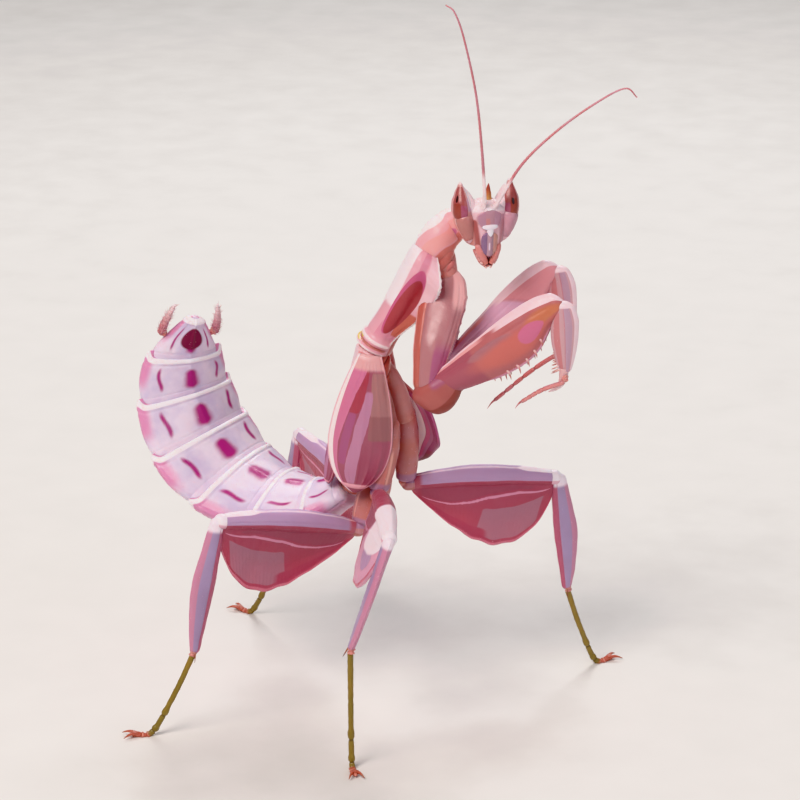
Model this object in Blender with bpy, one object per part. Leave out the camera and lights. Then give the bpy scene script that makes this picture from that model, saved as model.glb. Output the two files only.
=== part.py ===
"""Orchid mantis (Hymenopus coronatus), a last-instar female nymph at life size.

Metres, +Z up. The animal faces +X with its left side towards +Y, and the origin lies on the floor under
the middle of its box. The sizes below are in millimetres. A link is (length, azimuth, climb): azimuth turns
from +X towards +Y, and climb rises from the level.
"""

import math

import bmesh
import bpy
from mathutils import Matrix, Vector

MM = 0.001
GAP = 0.12  # clear space left between neighbouring plates
WORLD_UP = Vector((0, 0, 1))
SIDES = {"left": 1, "right": -1}

# Body line: the end of the thorax, then links up to the neck. Every other place is measured from WAIST
WAIST = Vector((-1.64, 1.16, 18.5))
THORAX_LINK = (11.9, 0, 84)
PRONOTUM_LINK = (11.8, 0, 61)

# Plates of the trunk: (half width, depth to the back, depth to the breast), evenly spaced from tail to head
PRONOTUM = (
    (1.9, 1.55, 1.6),
    (1.4, 1.3, 1.35),
    (1.4, 1.3, 1.4),
    (1.6, 1.45, 1.5),
    (2.0, 1.5, 1.5),
    (2.4, 1.45, 1.4),
    (1.95, 1.3, 1.2),
)
PRONOTUM_BOW = -0.3
PRONOTUM_FRONT = 2.2  # how far short of the neck's joint the shield ends
PROSTERNUM = ((0.4, 0.2, 0.3), (0.6, 0.25, 0.35), (0.45, 0.2, 0.3))
PROSTERNUM_SPAN = (0.5, 0.8)
PROSTERNUM_DROP = 2.05
MESOTHORAX = ((2.0, 1.6, 1.4), (2.15, 1.7, 1.4), (2.0, 1.6, 1.4), (1.6, 1.3, 1.2))
METATHORAX = ((1.5, 1.3, 0.5), (2.0, 1.6, 0.9), (2.15, 1.7, 1.3), (2.0, 1.6, 1.4))

# Wing pads: start and length along the thorax from its top, turn round it from the back, stand-off from its
# middle, half width, and radius of the curve across
PADS = {
    "fore_wing_pad": (0.9, 10.7, 96, 3.7, 2.75, 5.0),
    "hind_wing_pad": (5.7, 6.5, 30, 2.75, 1.25, 2.8),
}
PAD_OUTLINE = (0.3, 0.58, 0.82, 0.97, 1.0, 0.8, 0.25)
PAD_STAND = (0.72, 0.92, 1.0, 0.98)
PAD_THICKNESS, PAD_EDGE_THINNING = 0.55, 0.35
PAD_LEAN = {
    "fore_wing_pad_left": Vector((3.5, 1.1, 0)),  # this tip splays forwards and out
}

# Abdomen: rings that curl up over the back, swing to the left and roll the back outwards
ABDOMEN_ROOT = Vector((-1.0, 0, -0.9))
ABDOMEN_LENGTHS = (3.1, 3.6, 4.0, 4.1, 3.9, 3.4, 3.8)
ABDOMEN_CLIMB, ABDOMEN_CURL = -26, 23
ABDOMEN_AZIMUTH, ABDOMEN_SWING = 178, -4
ABDOMEN_ROLL = 3
ABDOMEN_JOINTS = (
    (1.9, 1.3, 1.4),
    (3.5, 1.7, 1.8),
    (4.9, 1.8, 2.1),
    (5.5, 1.8, 2.2),
    (5.3, 1.7, 2.1),
    (4.5, 1.5, 1.8),
    (3.3, 1.2, 1.4),
    (0.7, 0.4, 0.4),
)
ABDOMEN_FLARE = 0.05
CERCUS_PLACE, CERCUS_LENGTH, CERCUS_RADIUS, CERCUS_DROP = 0.52, 2.9, 0.36, 0.25

# Head: its place, the way the face looks, and levels of (height, half width, depth to face, depth to nape)
HEAD = Vector((10.45, -1.34, 23.1))
FACE_AZIMUTH, FACE_CLIMB = -58, 4
HEAD_LEVELS = (
    (-2.25, 1.25, 0.8, 0.6),
    (-1.5, 1.85, 1.0, 0.9),
    (-0.7, 2.25, 1.1, 1.1),
    (0.1, 2.25, 1.1, 1.2),
    (0.8, 1.7, 1.05, 1.1),
    (1.3, 1.1, 0.8, 0.9),
    (1.6, 0.5, 0.4, 0.5),
)
# Places on the head are (towards the animal's left, up, out of the face)
EYE_FOOT, EYE_TOP = (1.8, -0.62, 0.0), (2.02, 2.85, 0.05)
EYE = (
    (0.42, 0.5, 0.5),
    (0.76, 0.95, 0.85),
    (0.86, 1.1, 0.95),
    (0.76, 0.95, 0.85),
    (0.48, 0.6, 0.55),
    (0.12, 0.16, 0.16),
)
HORN_FOOT, HORN_TIP, HORN_RADIUS = (0, 1.6 + GAP, 0.15), (0, 2.95, 0.35), 0.42
JAW_TIP, JAW_ROOT = (0, -3.95, 0.1), (0, -2.25 - GAP, 0)
JAW = ((0.3, 0.3, 0.25), (0.8, 0.55, 0.5), (1.1, 0.7, 0.55))
PALP_ROUTE = ((1.3, -2.62, 0.2), (1.22, -3.2, 0.45), (0.8, -3.85, 0.6))
PALP_RADII = (0.22, 0.22, 0.18)
ANTENNA_ROOTS = {"left": (0.6, 1.35, 1.2), "right": (-0.4, 1.35, 1.2)}
ANTENNA_LINKS = {
    "right": ((4.4, -105, 82), (4.6, -120, 81), (4.6, -135, 76), (2.2, -150, 70), (0.9, 170, 35)),
    "left": ((3.6, 20, 58), (3.6, 20, 44), (3.6, 18, 36), (2.6, 14, 28), (1.2, 10, -35)),
}
ANTENNA_RADII = (0.3, 0.27, 0.26, 0.26)
NAPE = (-0.3, -0.35, -1.95)
NECK_START = -1.74
NECK_BOW = Vector((-0.35, 0.5, 0.2))
NECK_RADII = (1.15, 1.3, 1.25, 0.9)

# Grasping legs: the root on the prothorax, then coxa, femur, tibia and tarsus links
FORE_ROOTS = {"right": Vector((7.1, -1.75, 18.6)), "left": Vector((5.9, 2.9, 18.3))}
FORE_LINKS = {
    "right": ((9.5, -107, -78), (13.3, -2, 37), (5.6, 12, -86), (4.5, 174, -37)),
    "left": ((9.8, 69, -89), (13.1, 4, 45), (6.0, -15, -79), (7.9, -174, -41)),
}
FORE_COXA = ((0.8, 1.2, 1.2), (1.15, 1.85, 1.8), (1.15, 1.6, 1.65), (1.0, 1.1, 1.4), (0.85, 0.5, 1.15))
FORE_TROCHANTER = ((0.85, 0.8, 1.0), (0.95, 0.8, 1.25), (0.75, 0.65, 1.05))
FORE_FEMUR = (
    (0.65, 0.95, 1.05),
    (0.9, 1.15, 1.6),
    (1.05, 1.35, 2.1),
    (1.05, 1.55, 2.45),
    (0.95, 1.65, 2.5),
    (0.65, 1.3, 0.9),
)
FORE_TIBIA = ((0.5, 0.8, 0.25), (0.62, 1.2, 0.85), (0.58, 1.1, 1.0), (0.48, 0.8, 0.8), (0.3, 0.4, 0.4))
FORE_TARSUS_RADII = (0.27, 0.26, 0.25)
FEMUR_SPINE_ROWS = ((6, 0.45, 0.0), (4, -0.45, 0.3))  # count, offset across, stagger in steps
FEMUR_SPINE_SPAN = (0.43, 0.23)
FEMUR_SPINE_LENGTHS, FEMUR_SPINE_RADIUS = (0.9, 0.7), 0.25
TIBIA_SPINES, TIBIA_SPINE_SPAN, TIBIA_SPINE_RADIUS = 5, (0.46, 0.36), 0.22
CLAW_RADIUS = 0.34

# Walking legs: the root under the thorax, then coxa, femur, tibia and tarsus links
WALK_ROOTS = {
    "mid_left": Vector((3.4, 1.6, 6.1)),
    "mid_right": Vector((3.05, -1.5, 6.1)),
    "hind_left": Vector((1.55, 0.9, 1.0)),
    "hind_right": Vector((1.5, -0.8, 0.97)),
}
WALK_LINKS = {
    "mid_left": ((6.9, 102, -84), (12.5, 22, -1), (10.2, 54, -83), (8.3, 44, -56)),
    "mid_right": ((6.4, -138, -78), (10.8, -71, 1), (9.3, -148, -70), (9.7, -66, -77)),
    "hind_left": ((4.6, 120, -66), (12.6, 136, 12), (11.2, 150, -79), (9.2, 158, -56)),
    "hind_right": ((4.6, -120, -66), (12.6, -140, 12), (11.2, -152, -79), (9.2, -156, -56)),
}
WALK_COXA = ((0.65, 0.65, 0.65), (1.0, 1.05, 1.0), (1.0, 1.0, 1.0), (0.8, 0.8, 0.8))
WALK_TROCHANTER = ((0.6, 0.6, 0.6), (0.68, 0.66, 0.68), (0.52, 0.55, 0.55))
WALK_FEMUR = ((0.55, 0.6, 0.55), (0.75, 0.85, 0.75), (0.85, 0.95, 0.8), (0.75, 0.85, 0.7), (0.6, 0.65, 0.6))
WALK_TIBIA = ((0.5, 0.6, 0.5), (0.42, 0.95, 0.6), (0.4, 1.25, 0.65), (0.36, 0.95, 0.5), (0.3, 0.35, 0.35))
WALK_TARSUS_RADII = (0.27, 0.26, 0.28, 0.3)
WALK_FEMUR_BOW = 0.35
PETAL_DEPTH, PETAL_PEAK, PETAL_FULLNESS, PETAL_BLADE = 5.3, 0.62, 0.66, 0.6
FEMUR_TILT = {"mid_right": (-10, 64)}  # azimuth and climb of a femur's top where its petal hangs aslant
FOOT_LENGTH, FOOT_HEIGHT = 1.6, 0.28
FLOOR_REACH = 0.16  # foot points lower than this are laid on the floor
FOOT_CLAW = (1.1, 0.55, 0.12, 0.2)  # reach, spread, drop and radius

# Colours as sRGB, each with a roughness
TINTS = {
    "blush": ("F0B4BC", 0.42),
    "rose": ("DB8E99", 0.40),
    "petal": ("C77584", 0.45),
    "lilac": ("CDB9DA", 0.45),
    "pearl": ("F3E6F0", 0.40),
    "olive": ("85734A", 0.50),
    "eye": ("E3A2A8", 0.20),
    "amber": ("C08A42", 0.35),
}


# ---------------------------------------------------------------- scene and materials


def clear_scene():
    for thing in list(bpy.data.objects):
        bpy.data.objects.remove(thing, do_unlink=True)


def new_collection(name, hidden=False):
    collection = bpy.data.collections.new(name)
    bpy.context.scene.collection.children.link(collection)
    collection.hide_render = hidden
    return collection


def linear(channel):
    return channel / 12.92 if channel <= 0.04045 else ((channel + 0.055) / 1.055) ** 2.4


def make_material(name):
    code, roughness = TINTS[name]
    colour = [linear(int(code[i : i + 2], 16) / 255) for i in (0, 2, 4)]
    material = bpy.data.materials.new(name)
    material.use_nodes = True
    shader = material.node_tree.nodes["Principled BSDF"]
    shader.inputs["Base Color"].default_value = (*colour, 1)
    shader.inputs["Roughness"].default_value = roughness
    shader.inputs["Metallic"].default_value = 0.0
    material.diffuse_color = (*colour, 1)


# ---------------------------------------------------------------- directions and curves


def heading(azimuth, climb):
    a, c = math.radians(azimuth), math.radians(climb)
    return Vector((math.cos(c) * math.cos(a), math.cos(c) * math.sin(a), math.sin(c)))


def chain(start, links):
    """The joints reached from start along the links, start included."""
    joints = [Vector(start)]
    for length, azimuth, climb in links:
        joints.append(joints[-1] + length * heading(azimuth, climb))
    return joints


def blend(values, t):
    """A smooth curve through evenly spaced numbers or vectors, read at t from 0 to 1."""
    place = min(max(t, 0.0), 1.0) * (len(values) - 1)
    i = min(int(place), len(values) - 2)
    f = place - i
    p1, p2 = values[i], values[i + 1]
    p0 = values[i - 1] if i > 0 else p1 + (p1 - p2)
    p3 = values[i + 2] if i + 2 < len(values) else p2 + (p2 - p1)
    return p1 + 0.5 * f * (p2 - p0 + f * (2 * p0 - 5 * p1 + 4 * p2 - p3 + f * (3 * (p1 - p2) + p3 - p0)))


def axes(direction, up):
    """Unit side and up vectors square to a direction."""
    forward = direction.normalized()
    side = forward.cross(up).normalized()
    return side, side.cross(forward)


# ---------------------------------------------------------------- sections and lofts


def oval(width, over, under, sides, power=2.0):
    """A closed outline with its own half height above and below its middle."""
    points = []
    for k in range(sides):
        angle = 2 * math.pi * k / sides
        c, s = math.cos(angle), math.sin(angle)
        height = over if s > 0 else under
        a = width * math.copysign(abs(c) ** (2 / power), c)
        b = height * math.copysign(abs(s) ** (2 / power), s)
        points.append((a, b))
    return points


def keeled(width, over, under, foot, blade, shaft_rows=4, blade_rows=2):
    """The outline of a round shaft with a thin blade under it that reaches down to foot."""
    turn = math.radians(140)
    half = []
    for row in range(1, shaft_rows + 1):
        angle = math.pi / 2 - turn * row / shaft_rows
        height = over if angle > 0 else under
        half.append((width * math.cos(angle), height * math.sin(angle)))
    last_width, last_height = half[-1]
    for row in range(1, blade_rows + 1):
        f = row / blade_rows
        thickness = blade / 2 * (1 - 0.35 * f)
        spread = last_width + (thickness - last_width) * min(1, 1.6 * f)
        half.append((spread, last_height - (foot + last_height) * f))
    return [(0, over)] + half + [(-a, b) for a, b in reversed(half)]


def ring_at(centre, side, up, outline):
    return [centre + a * side + b * up for a, b in outline]


def loft(rings):
    """A closed skin over a row of equal rings of points, with a flat face at each end."""
    mesh = bmesh.new()
    rows = [[mesh.verts.new(point) for point in ring] for ring in rings]
    count = len(rows[0])
    for low, high in zip(rows, rows[1:]):
        for k in range(count):
            n = (k + 1) % count
            mesh.faces.new((low[k], low[n], high[n], high[k]))
    mesh.faces.new(rows[0])
    mesh.faces.new(rows[-1])
    bmesh.ops.recalc_face_normals(mesh, faces=mesh.faces)
    return mesh


def dome(t, length, reaches):
    """Rounds a segment's two ends over the given reaches: small at the very tip, 1 past the rounding."""
    scale = 1.0
    for distance, reach in zip((t * length, (1 - t) * length), reaches):
        if distance < reach:
            scale = min(scale, math.sqrt(max(0.12, 1 - (1 - distance / reach) ** 2)))
    return scale


def limb(start, end, up, stations, rings, sides, rounding=(0.5, 0.5), trims=(0, 0), bow=0.0, petal=None):
    """A segment from start to end, cut short by trims, whose middle line may bow towards up.

    Stations are (half width, over, under) evenly spaced along it. A petal is (depth, peak, fullness, blade):
    a thin blade under the segment that is deepest at peak.
    """
    direction = (end - start).normalized()
    start, end = start + trims[0] * direction, end - trims[1] * direction
    length = (end - start).length
    side, top = axes(direction, up)
    stations = [Vector(station) for station in stations]
    result = []
    for i in range(rings):
        t = 0.5 - 0.5 * math.cos(math.pi * i / (rings - 1))
        width, over, under = blend(stations, t) * dome(t, length, rounding)
        centre = start.lerp(end, t) + bow * math.sin(math.pi * t) * top
        if petal:
            depth, peak, fullness, blade = petal
            skew = math.log(0.5) / math.log(peak)
            foot = under + depth * math.sin(math.pi * t**skew) ** fullness
            outline = keeled(width, over, under, foot, blade)
        else:
            outline = oval(width, over, under, sides)
        result.append(ring_at(centre, side, top, outline))
    return loft(result)


def tube(route, up, radii, rings, sides):
    """A round tube along a smooth route, its radius read from evenly spaced radii."""
    result = []
    for i in range(rings):
        t = i / (rings - 1)
        direction = blend(route, min(1, t + 0.01)) - blend(route, max(0, t - 0.01))
        radius = blend(radii, t)
        result.append(ring_at(blend(route, t), *axes(direction, up), oval(radius, radius, radius, sides)))
    return loft(result)


def add_spine(mesh, root, tip, radius):
    """One pointed spine, four-sided to stay light."""
    direction = tip - root
    turn = direction.to_track_quat("Z", "Y").to_matrix().to_4x4()
    bmesh.ops.create_cone(
        mesh,
        cap_ends=True,
        segments=4,
        radius1=radius,
        radius2=radius * 0.12,
        depth=direction.length,
        matrix=Matrix.Translation((root + tip) / 2) @ turn,
    )


# ---------------------------------------------------------------- objects


def place_object(name, mesh, tint, collection):
    bmesh.ops.scale(mesh, vec=(MM, MM, MM), verts=mesh.verts)
    data = bpy.data.meshes.new(name)
    mesh.to_mesh(data)
    mesh.free()
    data.materials.append(bpy.data.materials[tint])
    data.shade_smooth()
    piece = bpy.data.objects.new(name, data)
    collection.objects.link(piece)
    return piece


def combine(piece, helper, operation):
    """Adds a hidden helper to a piece, or cuts it away, in an exact Boolean."""
    helper.hide_render = True
    helper.display_type = "WIRE"
    modifier = piece.modifiers.new(helper.name, "BOOLEAN")
    modifier.operation = operation
    modifier.solver = "EXACT"
    modifier.object = helper


# ---------------------------------------------------------------- trunk


def build_thorax(parts):
    """Prothorax, its breast plate, and the two rings below it. Gives the front end of the pronotum."""
    back, front = chain(WAIST, (THORAX_LINK, PRONOTUM_LINK))[1:]
    ridge = heading(180, 90 - PRONOTUM_LINK[2])
    mesh = limb(back, front, ridge, PRONOTUM, 12, 12, (0.4, 0.5), (GAP, PRONOTUM_FRONT), bow=PRONOTUM_BOW)
    place_object("pronotum", mesh, "blush", parts)

    low, high = (back.lerp(front, t) - PROSTERNUM_DROP * ridge for t in PROSTERNUM_SPAN)
    place_object("prosternum", limb(low, high, ridge, PROSTERNUM, 5, 8), "rose", parts)

    middle = WAIST.lerp(back, 0.5)
    ridge = heading(180, 90 - THORAX_LINK[2])
    mesh = limb(middle, back, ridge, MESOTHORAX, 7, 12, (0.1, 0.4), (GAP / 2, GAP * 2))
    place_object("mesothorax", mesh, "rose", parts)
    mesh = limb(WAIST, middle, ridge, METATHORAX, 7, 12, (0.4, 0.1), (0, GAP / 2))
    place_object("metathorax", mesh, "rose", parts)
    return front


def wing_pad(across, lean, start, length, turn, stand, half_width, radius, rings=9, columns=4):
    """A leaf-shaped pad laid against the side of the thorax, thinner towards its edges."""
    top = chain(WAIST, (THORAX_LINK,))[1]
    down = -heading(*THORAX_LINK[1:])
    ridge = heading(180, 90 - THORAX_LINK[2])
    middle = math.radians(turn)
    outer = [(1, k) for k in range(columns + 1)]
    inner = [(-1, k) for k in range(columns - 1, 0, -1)]
    result = []
    for i in range(rings):
        t = i / (rings - 1)
        axis = top + (start + length * t) * down + lean * t**1.5
        spread = half_width / radius * blend(PAD_OUTLINE, t)
        reach = stand * blend(PAD_STAND, t) - radius
        ring = []
        for face, k in outer + inner:
            f = 2 * k / columns - 1
            grown = radius + face * PAD_THICKNESS / 2 * (1 - PAD_EDGE_THINNING * f * f)
            backward = reach * math.cos(middle) + grown * math.cos(middle + spread * f)
            sideways = reach * math.sin(middle) + grown * math.sin(middle + spread * f)
            ring.append(axis + backward * ridge + sideways * across)
        result.append(ring)
    return loft(result)


def build_wing_pads(parts):
    for kind, sizes in PADS.items():
        for side, sign in SIDES.items():
            name = f"{kind}_{side}"
            mesh = wing_pad(Vector((0, sign, 0)), PAD_LEAN.get(name, Vector()), *sizes)
            place_object(name, mesh, "petal", parts)


def abdomen_line():
    """Centres, side vectors and back vectors at the joints of the abdomen."""
    centres, sides, backs = [WAIST + ABDOMEN_ROOT], [], []
    for k in range(len(ABDOMEN_JOINTS)):
        azimuth = ABDOMEN_AZIMUTH + ABDOMEN_SWING * k
        climb = ABDOMEN_CLIMB + ABDOMEN_CURL * k
        if k < len(ABDOMEN_LENGTHS):
            centres.append(centres[-1] + ABDOMEN_LENGTHS[k] * heading(azimuth, climb))
        along = heading(azimuth - ABDOMEN_SWING / 2, climb - ABDOMEN_CURL / 2)
        roll = Matrix.Rotation(math.radians(-ABDOMEN_ROLL * k), 3, along)
        side, back = axes(along, roll @ heading(azimuth, climb - ABDOMEN_CURL / 2 + 90))
        sides.append(side)
        backs.append(back)
    return centres, sides, backs


def build_abdomen(parts):
    centres, sides, backs = abdomen_line()
    joints = [Vector(joint) for joint in ABDOMEN_JOINTS]
    count = len(ABDOMEN_LENGTHS)
    steps = 4
    for k in range(count):
        rings = []
        margin = GAP / 2 / ABDOMEN_LENGTHS[k]
        for step in range(steps + 1):
            f = step / steps
            t = (k + margin + (1 - 2 * margin) * f) / count
            width, back, belly = blend(joints, t)
            width *= 1 + ABDOMEN_FLARE * math.sin(math.pi * (f - 0.2))
            side_axis, back_axis = axes(blend(backs, t).cross(blend(sides, t)), blend(backs, t))
            outline = oval(width, back, belly, 14, 1.75)
            rings.append(ring_at(blend(centres, t), side_axis, back_axis, outline))
        name = "abdomen_tip" if k == count - 1 else f"abdomen_{k + 1}"
        place_object(name, loft(rings), "pearl", parts)

    place = (count - 1 + CERCUS_PLACE) / count
    aside = blend(joints, place).x + CERCUS_RADIUS + GAP
    along = (centres[-1] - centres[-2]).normalized()
    for side, sign in SIDES.items():
        out = -sign * blend(sides, place)
        root = blend(centres, place) + aside * out - CERCUS_DROP * blend(backs, place)
        cercus = bmesh.new()
        add_spine(cercus, root, root + CERCUS_LENGTH * (along - 0.2 * out), CERCUS_RADIUS)
        place_object(f"cercus_{side}", cercus, "blush", parts)


# ---------------------------------------------------------------- head


def head_frame():
    face = heading(FACE_AZIMUTH, FACE_CLIMB)
    left = WORLD_UP.cross(face).normalized()
    return left, face.cross(left), face


def on_head(place, sign=1):
    left, up, face = head_frame()
    return WAIST + HEAD + sign * place[0] * left + place[1] * up + place[2] * face


def eye_shape(sign, swell):
    up, face = head_frame()[1:]
    foot, top = on_head(EYE_FOOT, sign) - swell * up, on_head(EYE_TOP, sign) + swell * up
    stations = [[value + swell for value in station] for station in EYE]
    return limb(foot, top, face, stations, 9, 10, (0.5, 0.2))


def build_head(parts, helpers):
    left, up, face = head_frame()
    rings = []
    for level, width, front, nape in HEAD_LEVELS:
        rings.append(ring_at(on_head((0, level, 0)), left, face, oval(width, front, nape, 14, 2.3)))
    head = place_object("head", loft(rings), "blush", parts)
    for side, sign in SIDES.items():
        socket = place_object(f"eye_socket_{side}", eye_shape(sign, GAP), "eye", helpers)
        combine(head, socket, "DIFFERENCE")
        place_object(f"eye_{side}", eye_shape(sign, 0), "eye", parts)
        route = [on_head(place, sign) for place in PALP_ROUTE]
        place_object(f"palps_{side}", tube(route, face, PALP_RADII, 5, 6), "blush", parts)

    horn = bmesh.new()
    add_spine(horn, on_head(HORN_FOOT), on_head(HORN_TIP), HORN_RADIUS)
    place_object("vertex_horn", horn, "amber", parts)
    mesh = limb(on_head(JAW_TIP), on_head(JAW_ROOT), face, JAW, 6, 10, (0.3, 0.1))
    place_object("mouthparts", mesh, "rose", parts)


def build_antennae(parts):
    for side in SIDES:
        route = chain(on_head(ANTENNA_ROOTS[side]), ANTENNA_LINKS[side])
        mesh = tube(route, heading(FACE_AZIMUTH, 0), ANTENNA_RADII, 18, 6)
        place_object(f"antenna_{side}", mesh, "blush", parts)


def build_neck(parts, front):
    start = front + NECK_START * heading(*PRONOTUM_LINK[1:])
    end = on_head(NAPE)
    route = [start, start.lerp(end, 0.5) + NECK_BOW, end]
    place_object("neck", tube(route, WORLD_UP, NECK_RADII, 6, 10), "rose", parts)


# ---------------------------------------------------------------- grasping legs


def femur_spines(elbow, knee, top, outward):
    """Two rows of spines under a grasping femur, long and short by turns."""
    along = (knee - elbow).normalized()
    stations = [Vector(station) for station in FORE_FEMUR]
    first, span = FEMUR_SPINE_SPAN
    mesh = bmesh.new()
    for count, offset, stagger in FEMUR_SPINE_ROWS:
        for k in range(count):
            t = first + span * (k + stagger) / (count - 1)
            depth = 0.9 * blend(stations, t).z - 0.4
            root = elbow.lerp(knee, t) - depth * top + offset * outward
            length = FEMUR_SPINE_LENGTHS[k % 2 if offset > 0 else 1 - k % 2]
            tip = root - length * (top + 0.15 * along) + 0.25 * offset * outward
            add_spine(mesh, root, tip, FEMUR_SPINE_RADIUS)
    return mesh


def tibia_comb(knee, wrist, shin, inner):
    """The comb along a grasping tibia and the hooked claw at its end."""
    first, span = TIBIA_SPINE_SPAN
    mesh = bmesh.new()
    for k in range(TIBIA_SPINES):
        root = knee.lerp(wrist, first + span * k / (TIBIA_SPINES - 1)) + 0.3 * inner
        add_spine(mesh, root, root + inner + 0.45 * shin, TIBIA_SPINE_RADIUS)
    add_spine(mesh, wrist - 0.6 * shin + 0.1 * inner, wrist + 1.3 * shin + 1.3 * inner, CLAW_RADIUS)
    return mesh


def build_fore_leg(parts, helpers, side):
    root, elbow, knee, wrist, toe = chain(WAIST + FORE_ROOTS[side], FORE_LINKS[side])
    forearm, shin = (knee - elbow).normalized(), (wrist - knee).normalized()
    outward = Vector((0, SIDES[side], 0))
    top = axes(forearm, WORLD_UP)[1]
    inner = (forearm.dot(shin) * shin - forearm).normalized()

    mesh = limb(root, elbow, heading(0, 10), FORE_COXA, 9, 10, (0.9, 0.4), (0.4, 1.45))
    place_object(f"fore_coxa_{side}", mesh, "blush", parts)
    mesh = limb(elbow, elbow + 1.4 * forearm, top, FORE_TROCHANTER, 6, 8, (0.8, 0.3), (-1.15, 0))
    place_object(f"fore_trochanter_{side}", mesh, "rose", parts)

    mesh = limb(elbow, knee, top, FORE_FEMUR, 11, 12, (0.4, 0.5), (1.45 + 3 * GAP, 1.9))
    femur = place_object(f"fore_femur_{side}", mesh, "rose", parts)
    spines = femur_spines(elbow, knee, top, outward)
    combine(femur, place_object(f"femur_spines_{side}", spines, "amber", helpers), "UNION")

    mesh = limb(knee, wrist, -inner, FORE_TIBIA, 9, 10, (0.5, 0.3), (-0.15, 0.1))
    tibia = place_object(f"fore_tibia_{side}", mesh, "blush", parts)
    comb = tibia_comb(knee, wrist, shin, inner)
    combine(tibia, place_object(f"tibia_comb_{side}", comb, "amber", helpers), "UNION")

    start = wrist + 0.45 * shin + 0.68 * outward
    middle = start.lerp(toe, 0.5) + 0.25 * WORLD_UP + 0.2 * outward
    mesh = tube([start, middle, toe], outward, FORE_TARSUS_RADII, 7, 6)
    place_object(f"fore_tarsus_{side}", mesh, "rose", parts)


# ---------------------------------------------------------------- walking legs


def foot_claws(toe, way):
    reach, spread, drop, radius = FOOT_CLAW
    mesh = bmesh.new()
    for turn in (1, -1):
        across = turn * WORLD_UP.cross(way)
        root = toe - 0.35 * way + 0.08 * across
        add_spine(mesh, root, root + reach * way + spread * across - drop * WORLD_UP, radius)
    return mesh


def rest_on_floor(mesh):
    """The lowest points of a foot are laid at the floor, so that it stands on a small flat."""
    for vertex in mesh.verts:
        if vertex.co.z < FLOOR_REACH:
            vertex.co.z = 0.0


def build_walking_leg(parts, helpers, name):
    root, hip, knee, ankle, toe = chain(WAIST + WALK_ROOTS[name], WALK_LINKS[name])
    outward = Vector((0, SIDES[name.split("_")[1]], 0))
    thigh = (knee - hip).normalized()
    top = heading(*FEMUR_TILT.get(name, (0, 90)))
    petal = (PETAL_DEPTH, PETAL_PEAK, PETAL_FULLNESS, PETAL_BLADE)

    mesh = limb(root, hip, outward, WALK_COXA, 6, 8, (0.6, 0.4), (0, 0.85))
    place_object(f"{name}_coxa", mesh, "rose", parts)
    mesh = limb(hip, hip + 0.95 * thigh, WORLD_UP, WALK_TROCHANTER, 5, 8, (0.5, 0.5), (-0.35, 0))
    place_object(f"{name}_trochanter", mesh, "rose", parts)
    ends, trims = (0.4, 0.4), (0.95 + GAP, 0.75)
    mesh = limb(hip, knee, top, WALK_FEMUR, 10, 0, ends, trims, WALK_FEMUR_BOW, petal)
    place_object(f"{name}_femur", mesh, "petal", parts)
    mesh = limb(knee, ankle, thigh, WALK_TIBIA, 8, 8, (0.4, 0.3), (-0.3, 0.1))
    place_object(f"{name}_tibia", mesh, "lilac", parts)

    toe.z = FOOT_HEIGHT
    start = ankle.lerp(toe, 0.02)
    way = (toe - ankle - (toe - ankle).dot(WORLD_UP) * WORLD_UP).normalized()
    knuckle = toe - FOOT_LENGTH * way
    route = [start, start.lerp(knuckle, 0.5) - 0.2 * way, knuckle, toe]
    mesh = tube(route, WORLD_UP.cross(way), WALK_TARSUS_RADII, 9, 6)
    rest_on_floor(mesh)
    tarsus = place_object(f"{name}_tarsus", mesh, "olive", parts)
    claws = place_object(f"{name}_claws", foot_claws(toe, way), "olive", helpers)
    combine(tarsus, claws, "UNION")


def main():
    clear_scene()
    parts = new_collection("orchid_mantis")
    helpers = new_collection("helpers", hidden=True)
    for name in TINTS:
        make_material(name)
    front = build_thorax(parts)
    build_wing_pads(parts)
    build_abdomen(parts)
    build_neck(parts, front)
    build_head(parts, helpers)
    build_antennae(parts)
    for side in SIDES:
        build_fore_leg(parts, helpers, side)
    for name in WALK_LINKS:
        build_walking_leg(parts, helpers, name)


main()
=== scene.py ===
"""The looks of a life-size orchid mantis nymph: waxy plates, petal lobes, faceted eyes and bristles.

Metres, +Z up, in the frame's own axes: the animal faces +X with its left side towards +Y. Sizes and places
are in millimetres until a mesh is made. A link is (length, azimuth, climb), the last two in degrees. Most
limbs' sections are (half width, height over the middle, height under it).
"""

from collections import namedtuple

import bpy
import numpy as np
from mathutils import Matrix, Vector


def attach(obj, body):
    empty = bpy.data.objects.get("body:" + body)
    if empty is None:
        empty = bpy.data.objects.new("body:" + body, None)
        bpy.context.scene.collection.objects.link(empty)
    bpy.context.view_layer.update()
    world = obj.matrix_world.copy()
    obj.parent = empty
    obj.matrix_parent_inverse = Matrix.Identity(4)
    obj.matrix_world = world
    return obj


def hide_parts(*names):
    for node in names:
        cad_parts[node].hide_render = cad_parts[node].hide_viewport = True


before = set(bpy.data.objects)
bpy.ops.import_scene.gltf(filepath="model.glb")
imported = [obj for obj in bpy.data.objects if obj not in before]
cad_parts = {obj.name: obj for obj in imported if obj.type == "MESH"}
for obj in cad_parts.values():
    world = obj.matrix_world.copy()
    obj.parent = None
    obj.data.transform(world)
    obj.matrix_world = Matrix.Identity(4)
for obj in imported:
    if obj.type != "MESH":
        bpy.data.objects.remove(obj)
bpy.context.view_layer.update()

MM = 0.001
GAP = 0.12
WORLD_UP = np.array((0.0, 0.0, 1.0))
SIDES = {"left": 1, "right": -1}

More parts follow.
